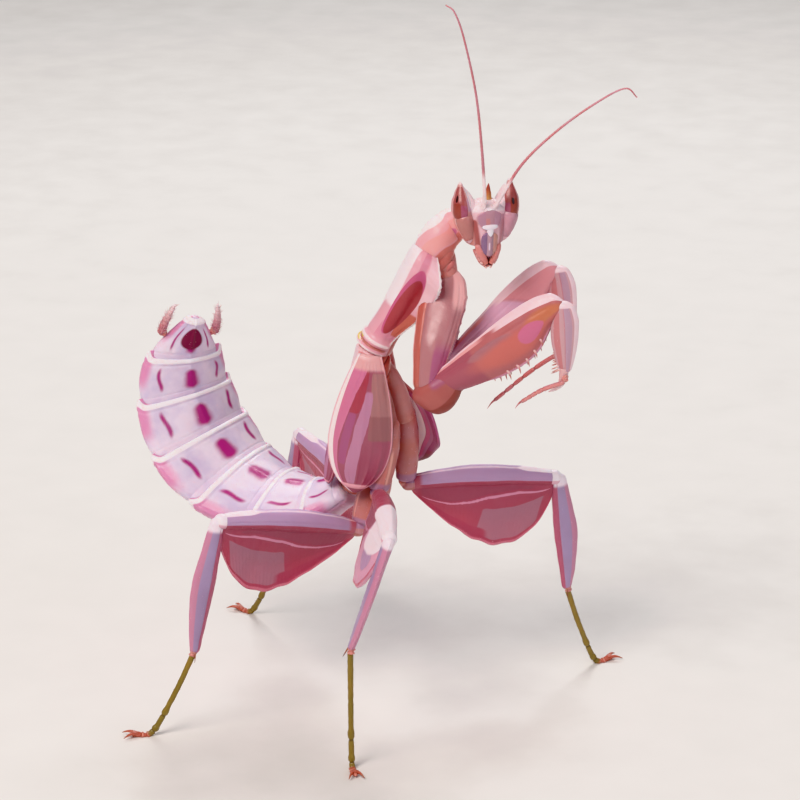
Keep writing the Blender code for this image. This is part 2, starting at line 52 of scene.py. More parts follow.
# The body line and its sections, as in the frame
WAIST = np.array((-1.64, 1.16, 18.5))
THORAX_LINK = (11.9, 0, 84)
PRONOTUM_LINK = (11.8, 0, 61)
PRONOTUM = (
    (1.9, 1.55, 1.6), (1.4, 1.3, 1.35), (1.4, 1.3, 1.4), (1.6, 1.45, 1.5), (2.0, 1.5, 1.5),
    (2.4, 1.45, 1.4), (1.95, 1.3, 1.2),
)
PRONOTUM_BOW, PRONOTUM_FRONT = -0.3, 2.2
PRONOTUM_FLARE = 1.1
PROSTERNUM = ((0.4, 0.2, 0.3), (0.6, 0.25, 0.35), (0.45, 0.2, 0.3))
PROSTERNUM_SPAN, PROSTERNUM_DROP = (0.5, 0.8), 2.05
MESOTHORAX = ((2.0, 1.6, 1.4), (2.15, 1.7, 1.4), (2.0, 1.6, 1.4), (1.6, 1.3, 1.2))
METATHORAX = ((1.5, 1.3, 0.5), (2.0, 1.6, 0.9), (2.15, 1.7, 1.3), (2.0, 1.6, 1.4))
PADS = {
    "fore_wing_pad_right": (0.25, 11.35, 96, 3.7, 2.68, 5.0, (0, 0, 0)),
    "fore_wing_pad_left": (0.4, 11.2, 100, 3.7, 3.2, 5.0, (2.5, 1.1, 0)),
    "hind_wing_pad_right": (5.7, 6.5, 30, 2.75, 1.25, 2.8, (0, 0, 0)),
    "hind_wing_pad_left": (5.7, 6.5, 30, 2.75, 1.25, 2.8, (0, 0, 0)),
}
PAD_OUTLINE = (0.36, 0.62, 0.83, 0.97, 1.0, 0.8, 0.25)
FAR_PAD_OUTLINE = (0.1, 0.1, 0.25, 1.35, 1.65, 0.95, 0.3)
PAD_STAND = (0.72, 0.92, 1.0, 0.98)
PAD_THICKNESS, PAD_EDGE_THINNING = 0.55, 0.35
ABDOMEN_ROOT = (-1.0, 0, -0.9)
ABDOMEN_LENGTHS = (3.1, 3.6, 4.0, 4.1, 3.9, 3.4, 3.8)
ABDOMEN_CLIMB, ABDOMEN_CURL = -26, 23
ABDOMEN_AZIMUTH, ABDOMEN_SWING = 178, -4
ABDOMEN_ROLL = 3
ABDOMEN_JOINTS = (
    (1.9, 1.3, 1.4), (3.5, 1.7, 1.8), (4.9, 1.8, 2.1), (5.5, 1.8, 2.2), (5.3, 1.7, 2.1), (4.5, 1.5, 1.8),
    (3.3, 1.2, 1.4), (0.7, 0.4, 0.4),
)
ABDOMEN_POWER = 1.75
CERCUS_PLACE, CERCUS_LENGTH, CERCUS_RADIUS, CERCUS_DROP = 0.52, 2.9, 0.36, 0.25

# Head
HEAD = np.array((10.45, -1.34, 23.1))
FACE_AZIMUTH, FACE_CLIMB = -58, 4
HEAD_LEVELS = (
    (-2.25, 1.2, 0.8, 0.6), (-1.5, 1.75, 1.0, 0.9), (-0.7, 2.1, 1.1, 1.1), (0.1, 2.12, 1.1, 1.2),
    (0.8, 1.65, 1.05, 1.1), (1.3, 1.1, 0.8, 0.9), (1.6, 0.5, 0.4, 0.5),
)
HEAD_POWER = 2.3
CHEEK_SWEEP = 0.55
CHEEK_FOOT, CHEEK_TOP = (1.28, -1.9, 0.1), (1.98, 0.7, 0.0)
CHEEK = ((0.3, 0.35, 0.5), (0.5, 0.68, 0.82), (0.68, 0.88, 0.92), (0.78, 1.0, 0.95), (0.64, 0.86, 0.84))
BROW_FOOT, BROW_TOP = (1.1, 0.1, -0.05), (1.9, 2.6, -0.05)
BROW = ((0.7, 0.75, 0.75), (0.72, 0.78, 0.75), (0.62, 0.72, 0.7), (0.45, 0.5, 0.5), (0.16, 0.2, 0.2))
EYE_FOOT, EYE_TOP = (1.9, -0.35, 0.0), (2.02, 3.0, 0.05)
EYE = (
    (0.5, 0.68, 0.7), (0.72, 0.93, 0.87), (0.79, 1.01, 0.93), (0.77, 0.99, 0.9), (0.68, 0.88, 0.8),
    (0.5, 0.62, 0.58), (0.3, 0.38, 0.36), (0.1, 0.13, 0.13),
)
EYE_LOOK = {"right": 0.5, "left": -0.2}
PUPILS = {"right": (0.88, 0.62), "left": (0.0, 0.48)}
HORN_FOOT, HORN_TIP = (0.12, 1.15, 0.15), (0.2, 2.8, 0.35)
FACE_LINE = (
    (-4.0, 0.4, 0.3), (-3.4, 0.85, 0.6), (-2.8, 1.2, 0.8), (-2.2, 1.3, 0.92), (-1.5, 1.75, 1.02),
    (-0.7, 2.1, 1.1), (0.1, 2.12, 1.1), (0.8, 1.65, 1.05), (1.4, 1.0, 0.75),
)
SHIELD = ((0.72, 0.4), (0.54, 0.85), (0.27, 1.02), (-0.08, 0.93), (-0.36, 0.8), (-0.58, 0.62))
CLYPEUS = ((-0.3, 0.45), (-0.4, 0.62), (-0.58, 0.62), (-0.74, 0.35))
NOSE = ((-0.6, 0.26), (-0.8, 0.27), (-1.0, 0.23), (-1.25, 0.14))
LABRUM = ((-0.9, 0.52), (-1.35, 0.66), (-1.95, 0.66), (-2.5, 0.54), (-2.92, 0.25))
JAW_TIP, JAW_ROOT = (0, -3.95, 0.1), (0, -2.25 - GAP, 0)
JAW = ((0.3, 0.3, 0.25), (0.8, 0.55, 0.5), (1.1, 0.7, 0.55))
MANDIBLE = ((0.85, -1.75, 0.5), (0.72, -2.35, 0.6), (0.42, -3.05, 0.65), (0.1, -3.65, 0.58))
GALEA = ((0.6, -2.4, 0.3), (0.46, -3.1, 0.45), (0.16, -3.7, 0.48))
SHORT_PALP = ((0.4, -3.2, 0.4), (0.3, -3.6, 0.5), (0.14, -3.92, 0.56))
SCAPE_RADII = (0.3, 0.24, 0.17, 0.16, 0.13)
ANTENNA_RADII = (0.13, 0.1, 0.082, 0.066, 0.048)
PALP_ROUTE = ((0.92, -2.5, 0.25), (0.76, -3.0, 0.45), (0.44, -3.6, 0.58))
PALPS = ((PALP_ROUTE, (0.13, 0.145, 0.14, 0.09), 4), (SHORT_PALP, (0.09, 0.11, 0.08), 3))
ANTENNA_ROOTS = {"left": (0.6, 1.35, 1.2), "right": (-0.4, 1.35, 1.2)}
ANTENNA_LINKS = {
    "right": ((4.4, -105, 82), (4.6, -120, 81), (4.6, -135, 76), (2.2, -150, 70), (0.9, 170, 35)),
    "left": ((3.6, 20, 58), (3.6, 20, 44), (3.6, 18, 36), (2.6, 14, 28), (1.2, 10, -35)),
}
NAPE = (-0.3, -0.35, -1.95)
NECK_START, NECK_MOUTH = -3.2, -1.3
NECK_BOW = (-0.35, 0.5, 0.2)
NECK = ((1.4, 1.2, 1.5), (1.4, 1.3, 1.7), (1.3, 1.2, 1.75), (1.15, 1.1, 1.5), (0.9, 0.9, 1.0))
THROAT = ((0.5, 1.2), (0.65, 1.25), (0.75, 1.1), (0.9, 1.05))
THROAT_RADII = (0.5, 0.95, 0.85, 0.9, 0.6)

# Grasping legs
FORE_ROOTS = {"right": (7.1, -1.75, 18.6), "left": (5.9, 2.9, 18.3)}
FORE_LINKS = {
    "right": ((9.5, -107, -78), (13.3, -2, 37), (5.6, 12, -86), (4.5, 174, -37)),
    "left": ((9.8, 69, -89), (13.1, 4, 45), (6.0, -15, -79), (7.9, -174, -41)),
}
FORE_COXA = ((0.8, 1.2, 1.2), (1.15, 1.85, 1.8), (1.15, 1.6, 1.65), (1.0, 1.1, 1.4), (0.85, 0.5, 1.15))
FORE_TROCHANTER = (
    (0.85, 0.9, 1.2), (1.08, 0.95, 1.95), (1.05, 0.85, 2.15), (0.9, 0.75, 1.8), (0.65, 0.55, 1.1),
)
FORE_TIBIA = ((0.5, 0.8, 0.25), (0.62, 1.2, 0.85), (0.58, 1.1, 1.0), (0.48, 0.8, 0.8), (0.3, 0.4, 0.4))
FORE_FEMUR = (
    (0.75, 0.6, 0.85), (0.85, 0.95, 1.25), (0.95, 1.17, 1.68), (1.05, 1.36, 2.1), (1.05, 1.55, 2.3),
    (0.95, 1.7, 2.0), (0.75, 1.6, 0.9), (0.5, 1.15, 0.45),
)
FORE_FOOT_RADII = (0.19, 0.18, 0.17, 0.15)
FORE_FOOT_JOINTS = (0.48, 0.63, 0.75, 0.86)

# Walking legs
WALK_ROOTS = {
    "mid_left": (3.4, 1.6, 6.1),
    "mid_right": (3.05, -1.5, 6.1),
    "hind_left": (1.55, 0.9, 1.0),
    "hind_right": (1.5, -0.8, 0.97),
}
WALK_LINKS = {
    "mid_left": ((6.9, 102, -84), (12.5, 22, -1), (10.2, 54, -83), (8.3, 44, -56)),
    "mid_right": ((6.4, -138, -78), (10.8, -71, 1), (9.3, -148, -70), (9.7, -66, -77)),
    "hind_left": ((4.6, 120, -66), (12.6, 136, 12), (11.2, 150, -79), (9.2, 158, -56)),
    "hind_right": ((4.6, -120, -66), (12.6, -140, 12), (11.2, -152, -79), (9.2, -156, -56)),
}
HIP_ROOTS = {
    "mid_left": (-2.2, -0.3, 4.6),
    "mid_right": (-2.2, 0.3, 4.2),
    "hind_left": (-0.4, 0, 0.6),
    "hind_right": (-0.4, 0, 0.6),
}
WALK_COXA = ((0.65, 0.65, 0.65), (1.0, 1.05, 1.0), (1.0, 1.0, 1.0), (0.8, 0.8, 0.8))
WALK_TROCHANTER = ((0.6, 0.6, 0.6), (0.68, 0.66, 0.68), (0.52, 0.55, 0.55))
WALK_FEMUR = ((0.55, 0.6, 0.55), (0.75, 0.85, 0.75), (0.85, 0.95, 0.8), (0.75, 0.85, 0.7), (0.6, 0.65, 0.6))
WALK_TIBIA = ((0.5, 0.6, 0.5), (0.42, 0.95, 0.6), (0.4, 1.25, 0.65), (0.36, 0.95, 0.5), (0.3, 0.35, 0.35))
WALK_KNEE = ((0.5, 0.55, 0.5), (0.6, 0.66, 0.58), (0.6, 0.66, 0.58), (0.42, 0.45, 0.45))
# How strongly each petal gets a painted highlight: only the mid-right one does
PETAL_HIGHLIGHT = {"mid_right": 1.0}
FOOT_RADII = (0.24, 0.22, 0.23, 0.25)
FOOT_JOINTS = (0.5, 0.64, 0.75, 0.85)
FOOT_CLAW = (1.1, 0.55, 0.12, 0.16)
WALK_FEMUR_BOW = 0.35
PETAL_DEPTH, PETAL_PEAK, PETAL_FULLNESS, PETAL_BLADE = 5.3, 0.62, 0.66, 0.6
FEMUR_TILT = {"mid_right": (-10, 64)}
FOOT_LENGTH, FOOT_HEIGHT = 1.6, 0.28

# The studio: directions as (azimuth, climb); lights as (azimuth, climb, distance, size, watts, colour)
CAMERA_TARGET, CAMERA_SIDE, CAMERA_DISTANCE = (1.66, 1.16, 25.6), (-76, 19), 270
LENS, SENSOR_WIDTH, NEAREST = 151.9, 36, 0.01
AIR_COLOUR, AIR_STRENGTH = "F4F1F2", 0.3
FLOOR_RADIUS, FLOOR_LEVEL = 0.6, -0.00002
LIGHTS = {
    "key": (-112, 48, 330, 190, 0.86, "FFF6EE"),
    "fill": (-28, 22, 360, 240, 0.2, "EEF2FF"),
    "rim": (98, 46, 320, 130, 0.5, "FFFFFF"),
}

# A bristle: the angles of its three edges, its faces, its corners on the map and how much of it each fills
BRISTLE_SIDES = (0, 2.09, 4.19)
BRISTLE_FACES = ((2, 1, 0), (0, 1, 4, 3), (1, 2, 5, 4), (2, 0, 3, 5), (3, 4, 6), (4, 5, 6), (5, 3, 6))
BRISTLE_MAP = ((0, 0), (0.5, 0), (1, 0), (0, 0.5), (0.5, 0.5), (1, 0.5), (0.5, 1))
BRISTLE_SPOT = 0.003

# A skin is a closed tube of points: rings × sides × 3, its place along from 0 to 1 as a column, its place
# around as an angle in a row, and named masks over its points that the finishes read
Skin = namedtuple("Skin", "points along around masks")


# ---------------------------------------------------------------- directions, curves and masks


def above_floor(points):
    return np.maximum(points, (-np.inf, -np.inf, 0.0))


def heading(azimuth, climb):
    a, c = np.radians(azimuth), np.radians(climb)
    return np.array((np.cos(c) * np.cos(a), np.cos(c) * np.sin(a), np.sin(c)))


def chain(start, links):
    joints = [np.array(start, float)]
    for length, azimuth, climb in links:
        joints.append(joints[-1] + length * heading(azimuth, climb))
    return joints


def unit(vectors):
    vectors = np.asarray(vectors, float)
    return vectors / np.maximum(np.linalg.norm(vectors, axis=-1, keepdims=True), 1e-9)


def axes(direction, up):
    forward = unit(direction)
    side = unit(np.cross(forward, up))
    return side, np.cross(side, forward)


def blend(values, t):
    """A smooth curve through evenly spaced rows, read at each t from 0 to 1."""
    values = np.asarray(values, float)
    t = np.atleast_1d(t)
    rows = values.reshape(len(values), -1)
    rows = np.vstack((2 * rows[0] - rows[1], rows, 2 * rows[-1] - rows[-2]))
    place = np.clip(t, 0, 1) * (len(values) - 1)
    i = np.minimum(place.astype(int), len(values) - 2)
    f = (place - i)[:, None]
    p0, p1, p2, p3 = (rows[i + k] for k in range(4))
    found = p1 + 0.5 * f * (p2 - p0 + f * (2 * p0 - 5 * p1 + 4 * p2 - p3 + f * (3 * (p1 - p2) + p3 - p0)))
    return found.reshape(len(t), *values.shape[1:])


def ease(x, low, high):
    f = np.clip((x - low) / (high - low), 0, 1)
    return f * f * (3 - 2 * f)


def ridge(x, place, width):
    return np.exp(-(((x - place) / width) ** 2))


def band(x, low, high, soft):
    """1 between low and high, with soft edges."""
    return ease(x, low - soft, low + soft) * (1 - ease(x, high - soft, high + soft))


def blot(x, y, soft=0.3):
    """1 in the middle of a unit disc and 0 past its edge."""
    return 1 - ease(np.sqrt(x * x + y * y), 1 - soft, 1 + soft)


def ripple(points, size, seed):
    """Soft, even unevenness from -1 to 1, with swells about size millimetres apart."""
    rng = np.random.default_rng(seed)
    waves = unit(rng.normal(size=(7, 3))) * (2 * np.pi / size) * rng.uniform(0.7, 1.3, (7, 1))
    return np.sin(points @ waves.T + rng.uniform(0, 6.28, 7)).mean(axis=-1) * 1.6


# ---------------------------------------------------------------- skins


def lift(skin):
    """The angle above the flanks: a quarter turn at the top and minus a quarter turn underneath."""
    return np.arcsin(np.sin(skin.around))


def flank(skin):
    """1 on the right of the way along, and -1 on the left."""
    return np.cos(skin.around)


def normals(points):
    along = np.gradient(points, axis=0)
    around = np.roll(points, -1, axis=1) - np.roll(points, 1, axis=1)
    found = unit(np.cross(around, along))
    outward = points - points.mean(axis=1, keepdims=True)
    return found if (outward * found).sum() > 0 else -found


def emboss(skin, relief):
    """Raises a skin along its normals by relief, in millimetres, fading to nothing at its two ends."""
    fade = np.minimum(1, 12 * np.minimum(skin.along, 1 - skin.along) + 0.25)
    lifted = skin.points + (relief * fade)[..., None] * normals(skin.points)
    return skin._replace(points=lifted)


def masked(skin, **masks):
    shape = skin.points.shape[:2]
    return skin._replace(masks={name: np.broadcast_to(mask, shape) for name, mask in masks.items()})


def oval(width, over, under, angle, power=2.0):
    """Outlines, one a row, with their own half heights above and below the middle."""
    c, s = np.cos(angle)[None, :], np.sin(angle)[None, :]
    a = width[:, None] * np.sign(c) * np.abs(c) ** (2 / power)
    b = np.where(s > 0, over[:, None], under[:, None]) * np.sign(s) * np.abs(s) ** (2 / power)
    return np.stack((a, b), axis=-1)


def turns(sides):
    return 2 * np.pi * np.arange(sides) / sides


def stretch(rings):
    """Places along a segment, closer together towards its ends."""
    return 0.5 - 0.5 * np.cos(np.pi * np.arange(rings) / (rings - 1))


def sweep(centres, sides, tops, outline):
    return centres[:, None] + outline[..., :1] * sides[:, None] + outline[..., 1:] * tops[:, None]


def dome(t, length, rounding):
    """Rounds a segment's two ends over the given reaches."""
    scale = np.ones_like(t)
    for distance, reach in zip((t * length, (1 - t) * length), rounding):
        inside = np.clip(distance / reach, 0, 1)
        scale = np.minimum(scale, np.sqrt(np.maximum(0.003, 1 - (1 - inside) ** 2)))
    return scale[:, None]


def span(start, end, trims):
    forward = unit(end - start)
    return start + trims[0] * forward, end - trims[1] * forward


def limb(start, end, up, stations, rings, sides, rounding=(0.5, 0.5), trims=(0, 0), bow=0.0, power=2.0):
    """A segment between two joints whose sections are (half width, over, under)."""
    start, end = span(start, end, trims)
    side, top = axes(end - start, up)
    t = stretch(rings)
    shape = blend(stations, t) * dome(t, np.linalg.norm(end - start), rounding)
    centres = start + t[:, None] * (end - start) + bow * np.sin(np.pi * t)[:, None] * top
    angle = turns(sides)
    outline = oval(*shape.T, angle, power)
    points = centres[:, None] + outline[..., :1] * side + outline[..., 1:] * top
    return Skin(points, t[:, None], angle[None, :], {})


def tube(route, up, radii, rings, sides, rounding=(0.2, 0.2)):
    """A tube along a smooth route. Its radii are single numbers, or rows of (half width, over, under)."""
    route, radii = np.asarray(route, float), np.asarray(radii, float)
    if radii.ndim == 1:
        radii = np.repeat(radii[:, None], 3, axis=1)
    t = stretch(rings)
    centres = blend(route, t)
    length = np.linalg.norm(np.diff(centres, axis=0), axis=1).sum()
    side, top = axes(np.gradient(centres, axis=0), up)
    angle = turns(sides)
    outline = oval(*(blend(radii, t) * dome(t, length, rounding)).T, angle)
    return Skin(sweep(centres, side, top, outline), t[:, None], angle[None, :], {})


def thorn(root, tip, radius, sag=(0, 0, 0), rings=12, sides=10):
    """A curved, tapering spine. Its mask, tip, grows towards its point."""
    t = np.linspace(0, 1, rings)
    root, tip, sag = (np.asarray(place, float) for place in (root, tip, sag))
    centres = root + t[:, None] * (tip - root) + np.sin(np.pi * t)[:, None] * sag
    helper = WORLD_UP if abs(unit(tip - root)[2]) < 0.9 else np.array((1.0, 0, 0))
    side, top = axes(np.gradient(centres, axis=0), helper)
    width = radius * (1 - t) ** 0.75 + 0.008
    angle = turns(sides)
    skin = Skin(sweep(centres, side, top, oval(width, width, width, angle)), t[:, None], angle[None, :], {})
    return masked(skin, tip=t[:, None])


def shell(skin):
    """Points and faces of a skin with both ends closed, its faces pointing outwards."""
    rings, sides = skin.points.shape[:2]
    points = np.vstack((skin.points.reshape(-1, 3), skin.points[0].mean(0), skin.points[-1].mean(0)))
    k = np.arange(sides)
    n = np.roll(k, -1)
    row = np.arange(rings - 1)[:, None] * sides
    quads = np.stack((row + k, row + n, row + sides + n, row + sides + k), axis=-1).reshape(-1, 4)
    last, pole = (rings - 1) * sides, rings * sides
    first_fan = np.stack((np.full(sides, pole), n, k), 1)
    last_fan = np.stack((np.full(sides, pole + 1), last + k, last + n), 1)
    p = points[quads]
    volume = (p[:, 0] * np.cross(p[:, 1], p[:, 2])).sum() + (p[:, 0] * np.cross(p[:, 2], p[:, 3])).sum()
    faces = quads.tolist() + first_fan.tolist() + last_fan.tolist()
    return points, faces if volume > 0 else [face[::-1] for face in faces]


# ---------------------------------------------------------------- finishes


def linear(code):
    """An sRGB hex colour as a linear one."""
    channels = [int(code[i : i + 2], 16) / 255 for i in (0, 2, 4)]
    return [c / 12.92 if c <= 0.04045 else ((c + 0.055) / 1.055) ** 2.4 for c in channels] + [1]


def set_inputs(tree, node, inputs):
    """Sets a node's inputs, each to a value or by a link to another node's output."""
    for name, value in inputs.items():
        if isinstance(value, bpy.types.NodeSocket):
            tree.links.new(value, node.inputs[name])
        else:
            node.inputs[name].default_value = value


def add(tree, kind, inputs, output=0, **settings):
    """Adds a node with its settings, values and links, and gives one of its outputs."""
    node = tree.nodes.new("ShaderNode" + kind)
    for name, value in settings.items():
        setattr(node, name, value)
    set_inputs(tree, node, inputs)
    return node.outputs[output]


def per(millimetres):
    """A pattern's scale for features this far apart."""
    return 1 / (millimetres * MM)


FINISHES = {}


def new_finish(name, kind):
    """A material under its finish's name. Gives its tree and its object coordinates."""
    material = bpy.data.materials.new(f"{name}_{kind}")
    FINISHES[name] = material
    material.use_nodes = True
    return material.node_tree, add(material.node_tree, "TexCoord", {}, "Object")


def dress(tree, **sockets):
    """Sets or links the sockets of a material's own shader, each named with _ for a space."""
    named = {socket.replace("_", " "): value for socket, value in sockets.items()}
    set_inputs(tree, tree.nodes["Principled BSDF"], named)


def pigment(tree, where, ground, layers, cloud, strength):
    """The ground colour, clouded with a second one, under layers with broken edges.

    Each layer is its mask, its colour and its softness, and a comma parts it from the one above it.
    """
    drift = add(tree, "TexNoise", {"Vector": where, "Scale": per(2.2), "Detail": 3.0})
    drift = add(tree, "MapRange", {"Value": drift, "From Min": 0.38, "From Max": 0.66})
    drift = add(tree, "Math", {0: drift, 1: strength}, operation="MULTIPLY")
    colour = add(tree, "Mix", {0: drift, 6: linear(ground), 7: linear(cloud)}, 2, data_type="RGBA")
    ragged = add(tree, "TexNoise", {"Vector": where, "Scale": per(0.45), "Detail": 4.0})
    for layer in filter(None, layers.split(", ")):
        mask, code, softness = layer.split()
        soft = float(softness)
        wander = {0: ragged, 1: 0.4 * soft, 2: -0.2 * soft}
        wander = add(tree, "Math", wander, operation="MULTIPLY_ADD")
        amount = add(tree, "Attribute", {}, "Fac", attribute_name=mask)
        amount = add(tree, "Math", {0: amount, 1: wander}, operation="ADD")
        edges = {"Value": amount, "From Min": 0.5 - soft, "From Max": 0.5 + soft}
        amount = add(tree, "MapRange", edges, interpolation_type="SMOOTHSTEP")
        colour = add(tree, "Mix", {0: amount, 6: colour, 7: linear(code)}, 2, data_type="RGBA")
    return colour


def cuticle_relief(tree, where, pore, depth):
    """Shallow dents, wrinkles and pores. The pores are some three times coarser than life, to show."""
    dents = add(tree, "TexNoise", {"Vector": where, "Scale": per(1.3), "Detail": 2.0})
    dents = add(tree, "Bump", {"Height": dents, "Strength": 0.5, "Distance": depth * 5 * MM})
    wrinkles = {"Vector": where, "Scale": per(0.3), "Detail": 6.0, "Roughness": 0.6}
    wrinkles = {"Height": add(tree, "TexNoise", wrinkles), "Strength": 0.6, "Distance": depth * 2 * MM}
    wrinkles = add(tree, "Bump", {**wrinkles, "Normal": dents})
    cells = add(tree, "TexVoronoi", {"Vector": where, "Scale": per(pore)}, "Distance", feature="SMOOTH_F1")
    cells = {"Height": cells, "Strength": 0.6, "Distance": depth * MM, "Normal": wrinkles}
    return add(tree, "Bump", cells, invert=True)


def waxy_cuticle(name, ground, cloud, strength, glow, layers):
    """Sclerotin under a film of wax: chitin's IOR of 1.56, a soft satin, and light that sinks in a little."""
    tree, where = new_finish(name, "cuticle")
    smudge = add(tree, "TexNoise", {"Vector": where, "Scale": per(0.7), "Detail": 3.0})
    smudge = {"Value": smudge, "From Min": 0.3, "From Max": 0.7, "To Min": 0.3, "To Max": 0.46}
    dress(
        tree,
        IOR=1.56,
        Subsurface_Weight=glow,
        Subsurface_Scale=0.7 * MM,
        Subsurface_Radius=(1.0, 0.42, 0.34),
        Coat_Weight=0.16,
        Coat_Roughness=0.22,
        Coat_IOR=1.45,
        Base_Color=pigment(tree, where, ground, layers, cloud, strength),
        Roughness=add(tree, "MapRange", smudge),
        Normal=cuticle_relief(tree, where, 0.13, 0.012),
    )


def petal_cuticle(name, ground, cloud, strength, layers):
    """The thin flap of a petal lobe: duller than a plate, finely ribbed, and light glows through it."""
    tree, where = new_finish(name, "petal")
    ribs = add(tree, "Attribute", {}, "Fac", attribute_name="fan")
    ribs = add(tree, "Math", {0: ribs, 1: 1.0}, operation="SINE")
    ribs = {"Height": ribs, "Strength": 0.35, "Distance": 0.012 * MM}
    ribs["Normal"] = cuticle_relief(tree, where, 0.16, 0.014)
    satin = add(tree, "TexNoise", {"Vector": where, "Scale": per(0.6), "Detail": 3.0})
    satin = {"Value": satin, "From Min": 0.3, "From Max": 0.7, "To Min": 0.38, "To Max": 0.54}
    dress(
        tree,
        IOR=1.5,
        Subsurface_Weight=0.45,
        Subsurface_Scale=1.1 * MM,
        Subsurface_Radius=(1.0, 0.5, 0.45),
        Sheen_Weight=0.12,
        Sheen_Roughness=0.4,
        Base_Color=pigment(tree, where, ground, layers, cloud, strength),
        Roughness=add(tree, "MapRange", satin),
        Normal=add(tree, "Bump", ribs),
    )


def joint_membrane(name, ground, cloud, layers=""):
    """Unhardened skin between plates: soft, finely creased and a little moist."""
    tree, where = new_finish(name, "membrane")
    mottle = add(tree, "TexNoise", {"Vector": where, "Scale": per(0.5), "Detail": 5.0})
    dress(
        tree,
        IOR=1.45,
        Subsurface_Weight=0.5,
        Subsurface_Scale=0.8 * MM,
        Subsurface_Radius=(1.0, 0.4, 0.3),
        Coat_Weight=0.2,
        Coat_Roughness=0.3,
        Base_Color=pigment(tree, where, ground, layers, cloud, 0.6),
        Roughness=add(tree, "MapRange", {"Value": mottle, "To Min": 0.32, "To Max": 0.5}),
        Normal=cuticle_relief(tree, where, 0.09, 0.012),
    )


def corneal_lens(name, ground, layers=""):
    """A hard clear skin over pigment. Its facets are twice as wide as in life, so that they show."""
    tree, where = new_finish(name, "cornea")
    colour = pigment(tree, where, ground, layers, "F0C9C4", 0.3)
    facets = {"Vector": where, "Scale": per(0.075), "Randomness": 0.25}
    facets = add(tree, "TexVoronoi", facets, "Distance")
    edge = {"Value": facets, "From Min": 0.15, "From Max": 0.75, "To Max": 0.3}
    darker = {0: add(tree, "MapRange", edge), 6: colour, 7: linear("7A3038")}
    dew = add(tree, "TexNoise", {"Vector": where, "Scale": per(0.8)})
    domes = {"Height": facets, "Strength": 0.5, "Distance": 0.008 * MM}
    dress(
        tree,
        IOR=1.56,
        Subsurface_Weight=0.12,
        Subsurface_Scale=0.3 * MM,
        Coat_Weight=0.25,
        Coat_Roughness=0.3,
        Coat_IOR=1.52,
        Base_Color=add(tree, "Mix", darker, 2, data_type="RGBA"),
        Roughness=add(tree, "MapRange", {"Value": dew, "To Min": 0.3, "To Max": 0.42}),
        Normal=add(tree, "Bump", domes, invert=True),
    )


def tanned_sclerotin(name, ground, point, sheen=0.28):
    """Spines, claws and the horn: harder and glossier, darker to their points, with fine growth lines."""
    tree, where = new_finish(name, "sclerotin")
    lines = add(tree, "TexNoise", {"Vector": where, "Scale": per(0.12), "Detail": 3.0})
    gloss = {"Value": lines, "To Min": sheen - 0.06, "To Max": sheen + 0.12}
    dress(
        tree,
        IOR=1.56,
        Subsurface_Weight=0.2,
        Subsurface_Scale=0.4 * MM,
        Coat_Weight=0.35,
        Coat_Roughness=0.15,
        Base_Color=pigment(tree, where, ground, f"tip {point} 0.35", "F2D2B8", 0.25),
        Roughness=add(tree, "MapRange", gloss),
        Normal=add(tree, "Bump", {"Height": lines, "Strength": 0.4, "Distance": 0.01 * MM}),
    )


def bristle_keratin(name, root, tip):
    """Fine stiff hairs: pale, clear-tipped and softly shining."""
    tree, where = new_finish(name, "keratin")
    along = add(tree, "Attribute", {}, "Fac", attribute_name="tip")
    tint = add(tree, "TexNoise", {"Vector": where, "Scale": per(1.5)})
    tint = add(tree, "Math", {0: along, 1: tint}, operation="MULTIPLY")
    dress(
        tree,
        IOR=1.55,
        Roughness=0.42,
        Subsurface_Weight=0.15,
        Subsurface_Scale=0.2 * MM,
        Base_Color=add(tree, "Mix", {0: tint, 6: linear(root), 7: linear(tip)}, 2, data_type="RGBA"),
    )


def matt_plaster(name, ground, grain):
    """The floor: a pale, even, matt plaster that keeps the light soft."""
    tree, where = new_finish(name, "floor")
    cloud = add(tree, "TexNoise", {"Vector": where, "Scale": per(6.0), "Detail": 5.0})
    shade = {0: cloud, 6: linear(ground), 7: linear(grain)}
    dress(tree, IOR=1.5, Roughness=0.8, Base_Color=add(tree, "Mix", shade, 2, data_type="RGBA"))


